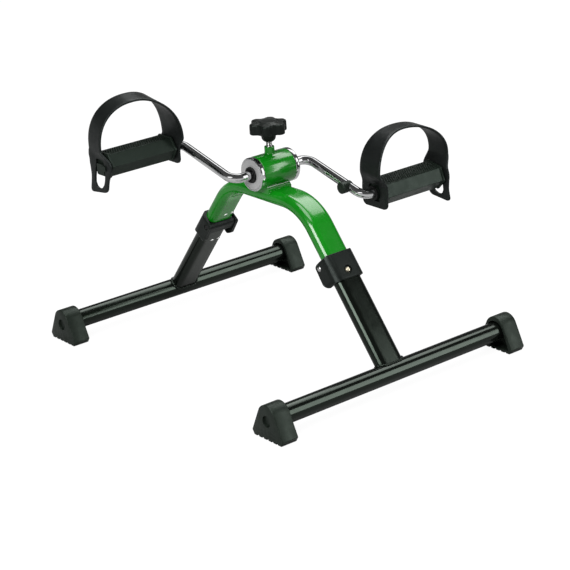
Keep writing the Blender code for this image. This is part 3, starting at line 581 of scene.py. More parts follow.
def boss(bm):
    """The threaded boss, flaring into the barrel through a painted-over weld."""
    loops = []
    count = 64
    for k in range(14):
        loop = []
        for i in range(count):
            t = math.tau * i / count
            if k <= 8:
                e = k / 8
                r = BOSS_R + 1.5 * (1 - math.sin(e * math.pi / 2))
                y = r * math.sin(t)
                z = math.sqrt(HUB_R**2 - y * y) - 0.4 + 2.4 * (1 - math.cos(e * math.pi / 2))
            else:
                e = (k - 8) / 5
                y = BOSS_R * math.sin(t)
                low = math.sqrt(HUB_R**2 - y * y) + 2.0
                top = BOSS_TOP - HUB_Z
                r = BOSS_R if k < 12 else BOSS_R - (0.25 if k == 12 else 0.8)
                high = {9: 0.35, 10: 0.75, 11: 0.0, 12: 0.0, 13: 0.0}[k]
                z = low + (top - low) * high if k < 11 else top - {11: 0.8, 12: 0.2, 13: 0.0}[k]
            loop.append(p(r * math.cos(t), r * math.sin(t), z))
        loops.append(loop)
    base = [p(v.x / MM, v.y / MM, 17.5) for v in loops[0]]
    skin(bm, [base] + loops)


def saddle(bm):
    """The foot of the barrel on the arch, with hollow sides."""
    outline = []
    for k in range(17):  # right side, from the barrel down to the arch
        t = k / 16
        z = -13.0 + (ARCH_Z + 9.0 - HUB_Z + 13.0) * t
        outline.append((14.4 - 0.8 * math.sin(math.pi * min(1.0, 1.4 * t)) + 2.9 * t**3, z))
    outline.append((16.9, ARCH_Z - 1 - HUB_Z))
    outline += [(-y, z) for y, z in reversed(outline)]
    prism(bm, outline, -18.5, 18.5, "X")


hub = piece("hub_shell_skin", barrel, GREEN, "frame", ["hub_shell"], AXLE)
apply_tools(
    hub,
    [
        ("UNION", boss),
        ("UNION", saddle),
        ("DIFFERENCE", lambda bm: cylinder(bm, "X", -60, 60, HUB_BORE, segments=96)),
        ("DIFFERENCE", lambda bm: cylinder(bm, "Z", 5, 60, STUD_R + 0.5, segments=40)),
        (
            "DIFFERENCE",
            lambda bm: prism(
                bm,
                [(b + ARCH_Z - HUB_Z, a) for a, b in oval(OVAL_W - 0.1, OVAL_T - 0.1)],
                -40,
                40,
                "Y",
            ),
        ),
    ],
)


def weld_bead(bm, points, radius, seed, ref=None, closed=False, sides=10, amount=0.16):
    """A rippled weld bead along points."""
    n = len(points)
    swept(
        bm,
        points,
        lambda i: radius * (1 + amount * math.sin(i * 1.35 + seed) + 0.08 * math.sin(i * 0.47 + 2 * seed)),
        sides=sides,
        closed=closed,
        ref=ref,
        cap=0.0 if closed else radius * 0.8,
    )


def saddle_bead(bm):
    for sign in (-1, 1):
        pts = []
        for k in range(49):
            x = -18.0 + 36.0 * k / 48
            drop = 0.0 if abs(x) < 10.25 else 9.25 - math.sqrt(9.25**2 - (abs(x) - 10.25) ** 2)
            pts.append(Vector((x, sign * (17.0 + 0.2 * math.sin(k * 0.9)), ARCH_Z + 9.25 - drop)))
        weld_bead(bm, pts, 1.1, 1.0 + sign)


piece("hub_weld", saddle_bead, GREEN, "frame")

for side, name in ((-1, "left"), (1, "right")):
    at = AXLE @ (HALF_TURN if side < 0 else Matrix.Identity(4))

    def cap_rim(bm):
        turned(
            bm,
            rounded(
                [
                    (17.0, HUB_BORE - 0.4),
                    (HUB_HALF + 0.25, HUB_BORE - 0.4),
                    (HUB_HALF + 0.25, HUB_R - 0.1),
                    (CAP_FACE, HUB_R - 0.1),
                    (CAP_FACE, HUB_R - 2.0),
                    (CAP_FACE - 0.8, HUB_R - 2.6),
                    (CAP_FACE - 0.8, 15.6),
                    (17.0, 15.6),
                ],
                [0, 0, 0.6, 1.1, 0.4, 0, 0, 0],
                4,
            ),
            "X",
            96,
        )

    def cap_disc(bm):
        turned(
            bm,
            rounded(
                [
                    (CAP_FACE - 3.0, 9.85),
                    (CAP_FACE - 3.0, HUB_R - 3.0),
                    (CAP_FACE - 0.15, HUB_R - 2.3),
                    (CAP_FACE - 0.15, 9.85),
                ],
                [0, 0, 0.3, 0.3],
                3,
            ),
            "X",
            96,
        )

    def bush(bm):
        turned(
            bm,
            rounded(
                [
                    (16, ROD_R + 0.35),
                    (16, 9.3),
                    (CAP_FACE + 0.05, 9.3),
                    (CAP_FACE + 0.05, 10.5),
                    (CAP_FACE + 2.4, 10.5),
                    (CAP_FACE + 2.4, 8.2),
                    (CAP_FACE + 1.4, 7.6),
                    (CAP_FACE + 1.4, ROD_R + 0.35),
                ],
                [0, 0, 0, 0, 0.8, 0.4, 0, 0],
                4,
            ),
            "X",
            64,
        )

    piece(f"end_cap_rim_{name}", cap_rim, CHROME, "frame", [f"end_cap_{name}"], at)
    piece(f"end_cap_disc_{name}", cap_disc, DISC, "frame", at=at)
    piece(f"axle_bush_skin_{name}", bush, BUSH, "frame", [f"axle_bush_{name}"], at)

# ----------------------------------------------------- knob and its screw


def threaded(bm):
    low, high, pitch, depth = HUB_Z + 14.8, KNOB_LOW + 2.4, 1.25, 0.62
    count, rows = 40, 180
    loops = []
    for k in range(rows + 1):
        z = low + (high - low) * k / rows
        loop = []
        for i in range(count):
            t = math.tau * i / count
            phase = (z / pitch - i / count) % 1.0
            wave = 1 - abs(2 * phase - 1)
            fade = min(1.0, (z - low) / 1.0)
            r = STUD_R - 0.02 - depth * (1 - min(1.0, wave * 1.25)) * fade - 0.4 * (1 - fade)
            loop.append(p(r * math.cos(t), r * math.sin(t), z))
        loops.append(loop)
    skin(bm, loops)


piece("tension_stud_thread", threaded, STEEL, "knob", ["tension_stud"], sharp=None)


def knob(bm):
    count = KNOB_LOBES * 28
    rings = []
    for z, r in (  # neck
        (NECK_LOW, 4.6),
        (NECK_LOW, 5.3),
        (NECK_LOW + 0.5, 6.3),
        (NECK_LOW + 1.4, 7.4),
        (NECK_LOW + 2.5, 8.3),
        (NECK_LOW + 4.0, 9.0),
        (NECK_LOW + 6.0, 9.4),
        (KNOB_LOW - 3.2, 9.8),
        (KNOB_LOW - 1.6, 10.2),
        (KNOB_LOW - 0.6, 10.8),
        (KNOB_LOW - 0.1, 11.8),
    ):
        rings.append((z, r, 0.0))
    rings.append((KNOB_LOW, 13.5, 0.15))
    rings.append((KNOB_LOW, KNOB_R - 2.6, 0.9))
    for k in range(1, 5):  # lower edge
        t = math.pi / 2 * k / 4
        rings.append((KNOB_LOW + 1.3 * (1 - math.cos(t)), KNOB_R - 1.3 + 1.3 * math.sin(t), 1.0))
    for k in range(1, 4):
        rings.append((KNOB_LOW + 1.3 + 9.9 * k / 3, KNOB_R - 0.15 * k / 3, 1.0))
    for k in range(1, 7):  # upper edge
        t = math.pi / 2 * k / 6
        rings.append((KNOB_TOP - 3.8 + 2.6 * math.sin(t), KNOB_R - 0.15 - 2.4 * (1 - math.cos(t)), 1.0))
    rings.append((KNOB_TOP - 0.95, KNOB_R - 4.2, 0.85))
    rings.append((KNOB_TOP - 0.6, KNOB_R - 6.4, 0.55))
    rings.append((KNOB_TOP - 0.35, 14.5, 0.2))
    rings.append((KNOB_TOP - 0.3, 13.0, 0.0))
    rings.append((KNOB_TOP - 0.6, 12.6, 0.0))
    rings.append((KNOB_TOP - 0.6, 11.8, 0.0))
    rings.append((KNOB_TOP - 0.2, 11.4, 0.0))
    rings.append((KNOB_TOP - 0.05, 8.0, 0.0))
    rings.append((KNOB_TOP, 3.0, 0.0))
    loops = []
    for z, radius, wave in rings:
        loop = []
        for i in range(count):
            t = math.tau * i / count
            lobe = 0.5 + 0.5 * math.cos(KNOB_LOBES * t)
            r = radius + wave * KNOB_WAVE * (2 * lobe * lobe * (3 - 2 * lobe) - 1)
            loop.append(p(r * math.cos(t + KNOB_TURN), r * math.sin(t + KNOB_TURN), z))
        loops.append(loop)
    skin(bm, loops)


tension_knob = piece("tension_knob_skin", knob, KNOB, "knob", ["tension_knob"], sharp=50.0)
apply_tools(
    tension_knob,
    [("DIFFERENCE", lambda bm: cylinder(bm, "Z", NECK_LOW - 5, KNOB_LOW + 2.5, STUD_R + 0.05, segments=40))],
    sharp=50.0,
)

# -------------------------------------------------------------------- crank


def bent(corners, radius, steps=18):
    out = [corners[0]]
    for a, b, c in zip(corners, corners[1:], corners[2:]):
        u, v = (a - b).normalized(), (c - b).normalized()
        half = u.angle(v) / 2
        centre = b + (u + v).normalized() * (radius / math.sin(half))
        start, end = b + u * (radius / math.tan(half)), b + v * (radius / math.tan(half))
        e1 = (start - centre).normalized()
        e2 = ((end - centre) - e1 * (end - centre).dot(e1)).normalized()
        total = math.pi - 2 * half
        for k in range(steps + 1):
            t = total * k / steps
            out.append(centre + (e1 * math.cos(t) + e2 * math.sin(t)) * radius)
    out.append(corners[-1])
    return out


reach = Vector((0, math.cos(ARM_ANGLE), math.sin(ARM_ANGLE)))
spindle = PEDAL_X + SPINDLE_END
rod = bent(
    [
        Vector((-spindle, 0, 0)) + reach * ARM_LENGTH,
        Vector((-ARM_X, 0, 0)) + reach * ARM_LENGTH,
        Vector((-ARM_X, 0, 0)),
        Vector((ARM_X, 0, 0)),
        Vector((ARM_X, 0, 0)) - reach * ARM_LENGTH,
        Vector((spindle, 0, 0)) - reach * ARM_LENGTH,
    ],
    BEND_R,
)
piece("crank_rod_skin", lambda bm: swept(bm, rod, ROD_R, 40), CHROME, "crank", ["crank_rod"], AXLE)

BUFFER_AT, BUFFER_R = 82.7, 7.5


def buffer(bm):
    turned(
        bm,
        rounded(
            [(47.6, 0.0), (47.6, BUFFER_R), (56.5, BUFFER_R), (57.4, BUFFER_R - 0.4), (64.0, BUFFER_R - 0.4), (64.0, 0.0)],
            [0, 1.0, 0.3, 0.3, 0.9, 0],
            4,
            closed=False,
        ),
        "X",
        56,
        closed=False,
    )


bumper = piece(
    "crank_buffer_skin",
    buffer,
    RUBBER,
    "crank",
    ["crank_buffer"],
    AXLE @ Matrix.Rotation(ARM_ANGLE, 4, "X") @ Matrix.Translation(p(0, -BUFFER_AT, 0)),
)
apply_tools(
    bumper,
    [("DIFFERENCE", lambda bm: cylinder(bm, "Y", -20, 20, ROD_R + 0.05, across=(0, ARM_X), segments=48))],
)

# ------------------------------------------------------------------- pedals


def hexagon(grow=0.0, radius=0.0, steps=3):
    k = 1 + grow / PEDAL_HIGH
    w, f, h = PEDAL_WIDE * k, PEDAL_FLAT * k, PEDAL_HIGH * k
    pts = [(f, h), (-f, h), (-w, 0), (-f, -h), (f, -h), (w, 0)]
    return rounded(pts, radius, steps) if radius else pts


def pedal_core(bm):
    """The six-sided body with two sunk treads."""
    loops = [[p(x, y, z) for y, z in hexagon()] for x in (-46.9, 46.5)]
    skin(bm, loops)
    bm.faces.ensure_lookup_table()
    bmesh.ops.recalc_face_normals(bm, faces=bm.faces)
    treads = [f for f in bm.faces if abs(f.normal.z) > 0.9]
    bmesh.ops.inset_individual(bm, faces=treads, thickness=1.5 * MM, depth=0.0)
    bmesh.ops.inset_individual(bm, faces=treads, thickness=0.45 * MM, depth=-0.7 * MM)


def pedal_tread(bm):
    """Rows of small studs on the two treads."""
    rows, cols = 6, 25
    for sign in (1, -1):
        for i in range(cols):
            for j in range(rows):
                x = -42.0 + 84.0 * (i + (0.25 if j % 2 else -0.25)) / (cols - 1)
                y = -8.0 + 16.0 * j / (rows - 1)
                loops = []
                for h, half in ((PEDAL_HIGH - 0.9, 1.15), (PEDAL_HIGH - 0.25, 1.05), (PEDAL_HIGH + 0.1, 0.75)):
                    loops.append(
                        [
                            p(x + a * half, sign * (y + b * half), sign * h)
                            for a, b in ((1, 1), (-1, 1), (-1, -1), (1, -1))
                        ]
                    )
                skin(bm, loops)


def pedal_flange(bm):
    skin(
        bm,
        [
            [p(x, y, z) for y, z in hexagon(g, 2.2)]
            for x, g in ((-46.8, 0.9), (-47.1, 1.3), (-49.3, 1.3), (-PEDAL_HALF, 0.8))
        ],
    )


def pedal_plate(bm):
    skin(
        bm,
        [
            [p(x, y, z) for y, z in hexagon(g, 2.2)]
            for x, g in ((PLATE_IN - 0.2, 0.9), (PLATE_IN + 0.1, 1.3), (PLATE_OUT - 0.5, 1.3), (PLATE_OUT, 0.8))
        ],
    )


def ease(t):
    t = max(0.0, min(1.0, t))
    return t * t * (3 - 2 * t)


def corner(rise, radius):
    """How much a rounded corner takes off, at a height above its end."""
    left = 1 - min(1.0, rise / radius)
    return radius * (1 - math.sqrt(1 - left * left))


def strap_stations(s):
    """(x, y, z, half width, twist, slant) from the outer tail over the loop to the inner end."""
    pts = []
    turn = [1 - math.cos(math.pi / 2 * k / 10) for k in range(11)]
    first = s["tail"] + 6.0
    for z in [s["tail"] + 6.0 * k for k in turn] + [first * (1 - k / 24) for k in range(1, 25)]:
        half = YOKE_TAIL + (YOKE_WIDE - YOKE_TAIL) * ease((z + 20) / 20)
        pts.append(
            (
                s["base"],
                s["shift"] + s["hang"] * max(0.0, -5 - z),
                z,
                half - corner(z - s["tail"], 6.0),
                0.0,
                s["slant"] * ease((-14 - z) / 14),
            )
        )

    def leg(t, start, widest, drift, twist, wide, narrow):
        return (
            start + (widest - start) * ease((t - 0.3) / 0.7),
            s["shift"] * (1 - ease(t)) + drift * ease(t),
            2 + (s["low"] - 2) * t,
            wide + (narrow - wide) * t**1.4,
            twist * ease((t - 0.3) / 0.7),
            0.0,
        )

    steps, arc = 18, 120
    for k in range(steps):
        pts.append(
            leg(k / steps, s["base"], s["out"], s["drift"][0], s["twist"][0], YOKE_WIDE, s["side"])
        )
    for k in range(arc + 1):
        t = math.pi * k / arc
        c = math.cos(t) if 2 * k != arc else 0.0
        outer, inner = max(0.0, c) ** 1.5, max(0.0, -c) ** 1.5

        def mix(o, m, i):
            return m + (o - m) * outer + (i - m) * inner

        x = (s["out"] if c > 0 else -s["inn"]) * abs(c) ** s["curve"]
        pts.append(
            (
                x + s["skew"] * math.sin(t),
                mix(*s["drift"]),
                s["low"] + s["rise"] * max(0.0, math.sin(t)) ** s["curve"],
                mix(s["side"], STRAP_TOP, STRAP_INNER),
                mix(*s["twist"]),
                0.0,
            )
        )
    for k in range(steps - 1, -1, -1):
        x, y, z, half, twist, _ = leg(
            k / steps, s["inner"], s["inn"], s["drift"][2], s["twist"][2], YOKE_WIDE, STRAP_INNER
        )
        pts.append((-x, y - s["shift"] * (1 - ease(k / steps)), z, half, twist, 0.0))
    last = INNER_LOW + 7.0
    for z in [2 + (last - 2) * k / 10 for k in range(1, 10)] + [INNER_LOW + 7.0 * k for k in reversed(turn)]:
        half = YOKE_WIDE + (23.6 - YOKE_WIDE) * min(1.0, (2 - z) / 6)
        pts.append((-s["inner"], 0.0, z, half - corner(z - INNER_LOW, 7.0), 0.0, 0.0))
    return pts


def strap_loops(s, side):
    """Sections of the strap, with rounded rims; y and twist are given for the front."""
    path = strap_stations(s)
    loops = []
    thick = STRAP_T / 2
    for i, (x, y, z, half, twist, slant) in enumerate(path):
        a, b = path[max(i - 1, 0)], path[min(i + 1, len(path) - 1)]
        run, climb = b[0] - a[0], b[2] - a[2]
        length = math.hypot(run, climb)
        nx, nz = climb / length, -run / length
        c, d = math.cos(math.radians(twist)), math.sin(math.radians(twist))
        section = []
        rim = min(1.1, half * 0.4)
        for sign in (1, -1):
            for k in range(9):
                section.append((sign * (-1 + k / 4) * (half - rim), sign * thick))
            for k in range(1, 5):
                t = math.pi * k / 5
                section.append((sign * (half - rim + rim * math.sin(t)), sign * thick * math.cos(t)))
        loops.append(
            [
                p(
                    x + nx * (d * w + c * h),
                    side * (y + c * w - d * h),
                    z + nz * (d * w + c * h) + slant * w,
                )
                for w, h in section
            ]
        )
    return loops


def strap_slot(s, side):
    """Outline (y, z) of the slot that hangs on the pedal's lug."""
    tip = s["tail"] + 5.3
    half = [(7.6, 7.5), (10.6, -4.0), (11.3, tip + 14), (10.4, tip + 7), (7.0, tip + 2.2), (2.0, tip)]
    pts = [(w, z) for w, z in half] + [(-w, z) for w, z in reversed(half)]
    return [
        (side * (w + s["shift"] + s["hang"] * max(0.0, -5 - z)), z) for w, z in pts
    ]


def lug(bm, side, across, up, low, high):
    """A block with rounded corners; across is given for the front."""
    a, b = across
    prism(bm, rounded([(side * y, z) for y, z in ((a, up[0]), (b, up[0]), (b, up[1]), (a, up[1]))], 1.2, 4), low, high, "X")


def make_pedal(name, side, roll, lie):
    body = f"{name}_pedal"
    at = AXLE @ Matrix.Translation(
        (Vector((side * PEDAL_X, 0, 0)) - side * reach * ARM_LENGTH) * MM
    )
    face = HALF_TURN if side < 0 else Matrix.Identity(4)
    place = at @ Matrix.Rotation(roll, 4, "X") @ face

    core = piece(f"pedal_core_{name}", pedal_core, PEDAL, body, [f"pedal_body_{name}"], place)
    apply_tools(core, [("DIFFERENCE", lambda bm: cylinder(bm, "X", -60, 60, ROD_R + 0.4))])
    soften(core, 0.8, 3, 24.0)
    piece(f"pedal_tread_{name}", pedal_tread, PEDAL, body, at=place)
    flange = piece(f"pedal_flange_{name}", pedal_flange, PEDAL, body, at=place)
    apply_tools(
        flange,
        [
            ("UNION", lambda bm: turned(bm, rounded([(-48.0, 0.0), (-48.0, 9.0), (-54.1, 9.0), (-54.1, 0.0)], [0, 0, 0.8, 0], 4, closed=False), "X", 48, closed=False)),
            ("DIFFERENCE", lambda bm: cylinder(bm, "X", -80, -20, ROD_R + 0.35)),
        ],
    )
    plate = piece(f"pedal_plate_{name}", pedal_plate, PEDAL, body, [f"pedal_end_plate_{name}"], place)
    apply_tools(
        plate,
        [
            ("UNION", lambda bm: lug(bm, side, lie["lug"], (-12.5, 1.5), PLATE_OUT - 2, 54.3)),
            ("UNION", lambda bm: lug(bm, side, (-12.9, -4.0), (-6.5, 0.5), 54.1, 55.4)),
        ],
    )
    strap = piece(
        f"pedal_strap_skin_{name}",
        lambda bm: skin(bm, strap_loops(lie, side)),
        STRAP,
        body,
        [f"pedal_strap_{name}"],
        at @ face,
    )
    apply_tools(
        strap,
        [
            (
                "DIFFERENCE",
                lambda bm: prism(
                    bm,
                    rounded(strap_slot(lie, side), [1.5, 4.0, 5.0, 4.0, 4.0, 3.5, 3.5, 4.0, 4.0, 5.0, 4.0, 1.5], 6),
                    40,
                    62,
                    "X",
                ),
            ),
            (
                "DIFFERENCE",
                lambda bm: prism(
                    bm,
                    rounded([(-10.2, 11.0), (-10.2, -11.0), (10.2, -11.0), (10.2, 11.0)], 4.0, 8),
                    -62,
                    -40,
                    "X",
                ),
            ),
        ],
        sharp=50.0,
    )


make_pedal("left", -1, LEFT_ROLL, STRAPS["left"])
make_pedal("right", 1, RIGHT_ROLL, STRAPS["right"])

# --------------------------------------------------------------------- legs


def foot_outline(inset=0.0):
    """(y, z): round top, sloping sides, ribbed sole; inset pulls it in evenly."""
    reach_ = math.hypot(FOOT_WIDE, FOOT_TOP_Z - 6.0)
    low = math.acos(FOOT_TOP_R / reach_) - math.atan2(FOOT_TOP_Z - 6.0, FOOT_WIDE)
    r = FOOT_TOP_R - inset
    pts = []
    for k in range(29):
        t = low + (math.pi - 2 * low) * k / 28
        pts.append((r * math.cos(t), FOOT_TOP_Z + r * math.sin(t)))
    wide, sole = FOOT_WIDE - 1.1 * inset, FOOT_SOLE - inset
    side = [pts[0], (wide, 6.0 + 0.2 * inset), (sole, inset), (0.0, inset)]
    edge = rounded(side, [0, 1.3, 0.8, 0], 5, closed=False)[1:-1]
    pts += [(-y, z) for y, z in edge]
    flat, grooves = 5.0, 5
    groove = (2 * sole - 6 * flat) / grooves
    for k in range(grooves):
        left = -sole + flat + k * (flat + groove)
        for e, h in ((0.0, 0.0), (0.5, 1.3), (1.1, 1.9), (groove - 1.1, 1.9), (groove - 0.5, 1.3), (groove, 0.0)):
            pts.append((left + e, h + inset))
    return pts + list(reversed(edge))


def foot(bm):
    inner, outer = FLOOR_END - FOOT_LENGTH, FLOOR_END
    stations = [
        (inner, 0.9), (inner + 0.15, 0.5), (inner + 0.45, 0.16), (inner + 0.9, 0.0),
        (outer - 1.0, 0.0), (outer - 0.5, 0.14), (outer - 0.15, 0.5), (outer, 1.0),
    ]
    skin(bm, [[p(x, y, z) for y, z in foot_outline(i)] for x, i in stations])


def foot_hollow(bm):
    """The open inside of the foot round the end of its tube."""
    r = FLOOR_R + 2.0
    low = math.radians(25)
    pts = []
    for k in range(25):
        t = low + (math.pi - 2 * low) * k / 24
        pts.append((r * math.cos(t), FLOOR_Z + r * math.sin(t)))
    base = rounded([pts[0], (FOOT_WIDE - 4.4, 4.2), (0.0, 4.2)], [0, 1.5, 0], 4, closed=False)[1:-1]
    pts += [(-y, z) for y, z in base] + list(reversed(base))
    prism(bm, pts, 150.0, 190.0, "X")


def upright(bm):
    skin(bm, [[p(a, s, b) for a, b in oval(OVAL_W, OVAL_T)] for s in (2.0, 40.0, 80.0, 120.0, UPRIGHT_END)])


def leg_prism(bm, outline, low, high):
    prism(bm, [(b, a) for a, b in outline], low, high, "Y")


def leg_bead(bm):
    pts = []
    ring = oval(OVAL_W + 0.9, OVAL_T + 0.9, 22, 14)
    for a, b in ring:
        pts.append(Vector((a, math.sqrt(max(0.0, (FLOOR_R + 0.3) ** 2 - b * b)) + 0.2, b)))
    fine = []
    for i in range(len(pts)):
        a, b = pts[i], pts[(i + 1) % len(pts)]
        steps = max(1, round((b - a).length / 0.9))
        for k in range(steps):
            fine.append(a.lerp(b, k / steps))
    weld_bead(bm, fine, 1.7, 0.7, ref=Vector((0, 1, 0)), closed=True, sides=10)


for name, side, at in (("front", 1, FRONT), ("rear", -1, REAR)):
    body = f"{name}_leg"
    base = Matrix.Translation(p(0, side * FLOOR_Y, FLOOR_Z))
    floor_at = Matrix.Translation(p(0, side * FLOOR_Y, 0))
    piece(
        f"floor_tube_skin_{name}",
        lambda bm: turned(
            bm,
            [(-195.8, FLOOR_R - 1.4), (-195.8, FLOOR_R - 0.3), (-195.5, FLOOR_R)]
            + [(-195.5 + 391.0 * k / 12, FLOOR_R) for k in range(1, 13)]
            + [(195.8, FLOOR_R - 0.3), (195.8, FLOOR_R - 1.4)],
            "X",
            72,
        ),
        BLACK,
        body,
        [f"floor_tube_{name}"],
        base,
    )
    leg = piece(f"upright_skin_{name}", upright, BLACK, body, [f"upright_{name}"], at)
    apply_tools(
        leg,
        [
            ("DIFFERENCE", lambda bm: cylinder(bm, "X", -40, 40, FLOOR_R + 0.02, segments=96)),
            ("DIFFERENCE", lambda bm: cylinder(bm, "Z", 3, 20, BUTTON_R + 0.3, across=(0, BUTTON_S))),
            ("DIFFERENCE", lambda bm: leg_prism(bm, oval(OVAL_W - 3.0, OVAL_T - 3.0), 90.0, 200.0)),
        ],
    )
    piece(f"leg_weld_{name}", leg_bead, BLACK, body, at=at)
    for end, word in ((-1, "left"), (1, "right")):
        shoe = piece(
            f"foot_skin_{name}_{word}",
            foot,
            RUBBER,
            body,
            [f"foot_{name}_{word}"],
            floor_at @ (HALF_TURN if end < 0 else Matrix.Identity(4)),
        )
        apply_tools(
            shoe,
            [
                ("DIFFERENCE", foot_hollow),
                ("DIFFERENCE", lambda bm: cylinder(bm, "X", 150, 195.9, FLOOR_R + 0.15, across=(0, FLOOR_Z), segments=72)),
                ("DIFFERENCE", lambda bm: cylinder(bm, "X", 197.0, 203, 6.9, across=(0, 24.5), segments=48, radius2=7.9)),
            ],
        )
    button = piece(
        f"snap_button_skin_{name}",
        lambda bm: turned(
            bm,
            rounded(
                [(13.2, 0.0), (13.2, 0.8), (13.7, 1.5), (13.4, 2.4), (12.4, 3.0), (11.6, BUTTON_R), (7.3, BUTTON_R), (7.3, 4.6), (4.8, 4.6), (4.8, 0.0)],
                [0, 0.3, 0.5, 0.6, 0.8, 0.6, 0, 0, 0, 0],
                4,
                closed=False,
            ),
            "Z",
            40,
            closed=False,
        ),
        ZINC,
        f"{name}_snap",
        [f"snap_button_{name}"],
        at @ Matrix.Translation(p(0, BUTTON_S, 0)),
    )

    # the spring behind the button
    low, high, turns = -2.5, 4.3, 4
    coil = [
        Vector(
            (
                3.1 * math.cos(math.tau * turns * k / 96),
                3.1 * math.sin(math.tau * turns * k / 96),
                low + (high - low) * k / 96,
            )
        )
        for k in range(97)
    ]
    spring = piece(
        f"snap_spring_skin_{name}",
        lambda bm: swept(bm, coil, 0.35, 10),
        STEEL,
        body,
        [f"snap_spring_{name}"],
        at @ Matrix.Translation(p(0, BUTTON_S, 0)),
    )
    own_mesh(spring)

    side_view = rounded(
        [
            (BRACKET_LOW, BRACKET_OUT),
            (BRACKET_LOW, EAR_IN + 5.0),
            (BRACKET_LOW + 8.0, EAR_IN - 0.5),
            (BRACKET_HIGH - 2.5, EAR_IN + 1.5),
            (BRACKET_HIGH, EAR_IN + 14.0),
            (BRACKET_HIGH, BRACKET_OUT),
        ],
        [2.8, 6.0, 6.0, 5.0, 6.0, 2.8],
        8,
    )
    hull = rounded(
        [
            (BRACKET_HALF - 0.05, -30.0),
            (BRACKET_HALF - 0.05, BRACKET_OUT - 0.05),
            (-BRACKET_HALF + 0.05, BRACKET_OUT - 0.05),
            (-BRACKET_HALF + 0.05, -30.0),
        ],
        [0.0, 12.3, 12.3, 0.0],
        14,
    )
    edge, low, high = BRACKET_HALF - 0.12, BRACKET_LOW + 0.05, BRACKET_HIGH - 0.05
    outer_view = rounded([(-edge, low), (edge, low), (edge, high), (-edge, high)], 6.0, 10)

    def button_hole(bm):
        turned(
            bm,
            [(8.0, 0.0), (8.0, 3.9), (10.4, 3.9), (10.4, 5.8), (13.6, 5.8), (13.6, 0.0)],
            "Z",
            44,
            closed=False,
        )
        bmesh.ops.translate(bm, verts=bm.verts[:], vec=p(0, BUTTON_S, 0))

    gap = 0.7
    bracket = piece(
        f"hinge_bracket_skin_{name}",
        lambda bm: prism(bm, side_view, -BRACKET_HALF, BRACKET_HALF, "X"),
        HOUSING,
        "frame",
        [f"hinge_bracket_{name}"],
        at,
    )
    apply_tools(
        bracket,
        [
            ("INTERSECT", lambda bm: leg_prism(bm, hull, 100, 200)),
            ("INTERSECT", lambda bm: prism(bm, outer_view, -60, 60, "Z")),
            ("DIFFERENCE", lambda bm: leg_prism(bm, oval(OVAL_W + gap, OVAL_T + gap), 100, 157.5)),
            ("DIFFERENCE", lambda bm: block(bm, (-19.85, 100, -40), (19.85, 200, -1.5))),
            ("DIFFERENCE", lambda bm: leg_prism(bm, oval(OVAL_W + 0.2, OVAL_T + 0.2), TUBE_END - 0.35, 200)),
            ("DIFFERENCE", button_hole),
            ("DIFFERENCE", lambda bm: cylinder(bm, "X", BRACKET_HALF - 1.1, 30, 4.0, across=(PIN_S, PIN_O))),
        ],
    )
    soften(bracket, 0.6, 3, 50.0)
    half = BRACKET_HALF + 0.05
    dome = [(1.7, 0.0), (1.6, 1.0), (1.25, 2.1), (0.7, 2.9), (0.25, 3.3), (0.0, 3.4)]
    pin = piece(
        f"hinge_pin_skin_{name}",
        lambda bm: turned(
            bm,
            [(-half - h, r) for h, r in dome]
            + [(-half, PIN_R), (BRACKET_HALF - 0.9, PIN_R), (BRACKET_HALF - 0.5, PIN_R - 0.4), (BRACKET_HALF - 0.5, 0.0)],
            "X",
            40,
            closed=False,
        ),
        PIN,
        "frame",
        [f"hinge_pin_{name}"],
        at @ Matrix.Translation(p(0, PIN_S, PIN_O)),
    )
    # the sunk end takes the dark bush plastic, a painted shade in its recess
    pin.data.materials.append(BUSH)
    for face in pin.data.polygons:
        if face.center.x > 0.9 * half * MM:
            face.material_index = 1

# ------------------------------------------- CAD nodes that stay as they are

for names, material in (
    (("hinge_tongue_front", "hinge_tongue_rear"), HOUSING),
    (("crank_sleeve", "spindle_cap_left", "spindle_cap_right"), STEEL),
    (("spindle_washer_left", "spindle_washer_right"), BUSH),
    (("brake_shoe",), NYLON),
):
    for n in names:
        mesh = nodes[n].data
        mesh.materials.clear()
        mesh.materials.append(material)

# -------------------------------------------------------- floor and lights


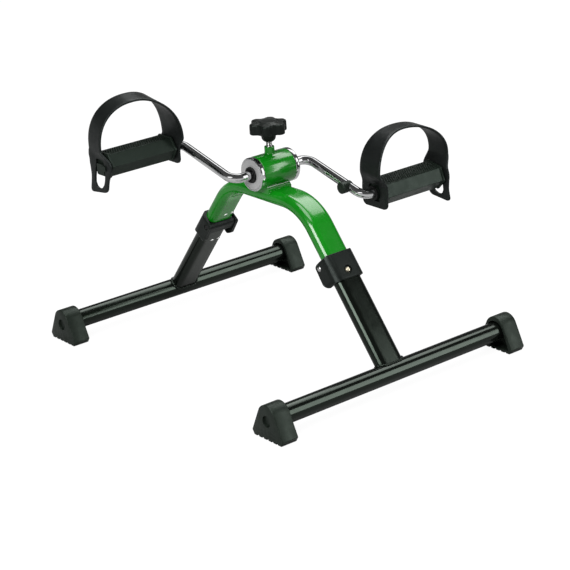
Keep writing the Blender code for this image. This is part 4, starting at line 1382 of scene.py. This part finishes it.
def make_stage():
    def floor(name, level, glow, z):
        s = Shader(name, (level, level, level), 0.9)
        s.colour(s.noise(3.0, 2.0), [(0.3, level * 0.99), (0.7, level * 1.01)])
        s.b.inputs["Specular IOR Level"].default_value = 0.0
        s.b.inputs["Emission Color"].default_value = (1, 1, 1, 1)
        s.b.inputs["Emission Strength"].default_value = glow
        bm = bmesh.new()
        bmesh.ops.create_grid(bm, x_segments=2, y_segments=2, size=8.0)
        mesh = bpy.data.meshes.new(name)
        bm.to_mesh(mesh)
        bm.free()
        mesh.materials.append(s.m)
        ob = bpy.data.objects.new(name, mesh)
        ob.location = (0, 0, z)
        bpy.context.scene.collection.objects.link(ob)
        return ob

    # the paper that the camera sees, and over it the paper that lights the object from below
    floor("floor", 0.08, 0.93, -0.0010)
    bounce = floor("floor_bounce", 0.36, 0.0, -0.0005)
    bounce.visible_camera = False
    bounce.visible_shadow = False

    world = bpy.data.worlds.new("studio")
    bpy.context.scene.world = world
    world.use_nodes = True
    tree = world.node_tree
    at = tree.nodes.new("ShaderNodeTexCoord")
    split = tree.nodes.new("ShaderNodeSeparateXYZ")
    height = tree.nodes.new("ShaderNodeMapRange")
    height.inputs["From Min"].default_value = -1.0
    ramp = tree.nodes.new("ShaderNodeValToRGB")
    tree.links.new(at.outputs["Generated"], split.inputs["Vector"])
    tree.links.new(split.outputs["Z"], height.inputs["Value"])
    tree.links.new(height.outputs["Result"], ramp.inputs["Fac"])
    tree.links.new(ramp.outputs["Color"], tree.nodes["Background"].inputs["Color"])
    stops = ((0.0, 0.95), (0.50, 0.95), (0.53, 0.40), (0.60, 0.10), (1.0, 0.07))
    e = ramp.color_ramp.elements
    while len(e) < len(stops):
        e.new(0.5)
    for item, (where, level) in zip(e, stops):
        item.position = where
        item.color = (level, level, level, 1.0)
    tree.nodes["Background"].inputs["Strength"].default_value = 1.0

    sun = bpy.data.objects.new("overhead", bpy.data.lights.new("overhead", "SUN"))
    sun.data.energy = 2.3
    sun.data.angle = math.radians(42)
    sun.rotation_euler = (math.radians(6), math.radians(-5), 0)
    bpy.context.scene.collection.objects.link(sun)

    def softbox(name, at, target, size, glow, roll=0.0):
        data = bpy.data.lights.new(name, "AREA")
        data.shape = "RECTANGLE"
        data.size, data.size_y = size
        data.energy = glow * math.pi * size[0] * size[1]
        ob = bpy.data.objects.new(name, data)
        turn = (Vector(target) - Vector(at)).to_track_quat("-Z", "Y").to_matrix().to_4x4()
        ob.matrix_world = Matrix.Translation(at) @ turn @ Matrix.Rotation(math.radians(roll), 4, "Z")
        bpy.context.scene.collection.objects.link(ob)
        return ob

    boxes = (
        ("right_top", (1.32, 0.50, 2.00), (0, -0.05, 0.18), (2.1, 0.7), 5.9, 0.0),
        ("front", (4.96, -6.15, 2.90), (0, 0, 2.90), (2.0, 5.8), 8.0, -12.0),
        ("left", (-2.15, -0.85, 1.42), (0, 0, 0.15), (1.7, 0.7), 16.0, 36.0),
    )
    bright = [sun] + [softbox(*b) for b in boxes]
    soft = [softbox(f"{name}_chrome", *rest[:3], 1.7, rest[4]) for name, *rest in boxes]
    chrome = [ob for ob in bpy.data.objects if ob.type == "MESH" and CHROME in list(ob.data.materials)]

    # polished metal has its own, gentler set of the same lights
    for light, state in [(ob, "EXCLUDE") for ob in bright] + [(ob, "INCLUDE") for ob in soft]:
        group = bpy.data.collections.new(f"{light.name}_on")
        for ob in chrome:
            group.objects.link(ob)
        light.light_linking.receiver_collection = group
        for item in group.collection_objects:
            item.light_linking.link_state = state


make_stage()
bpy.context.scene.view_settings.view_transform = "Standard"
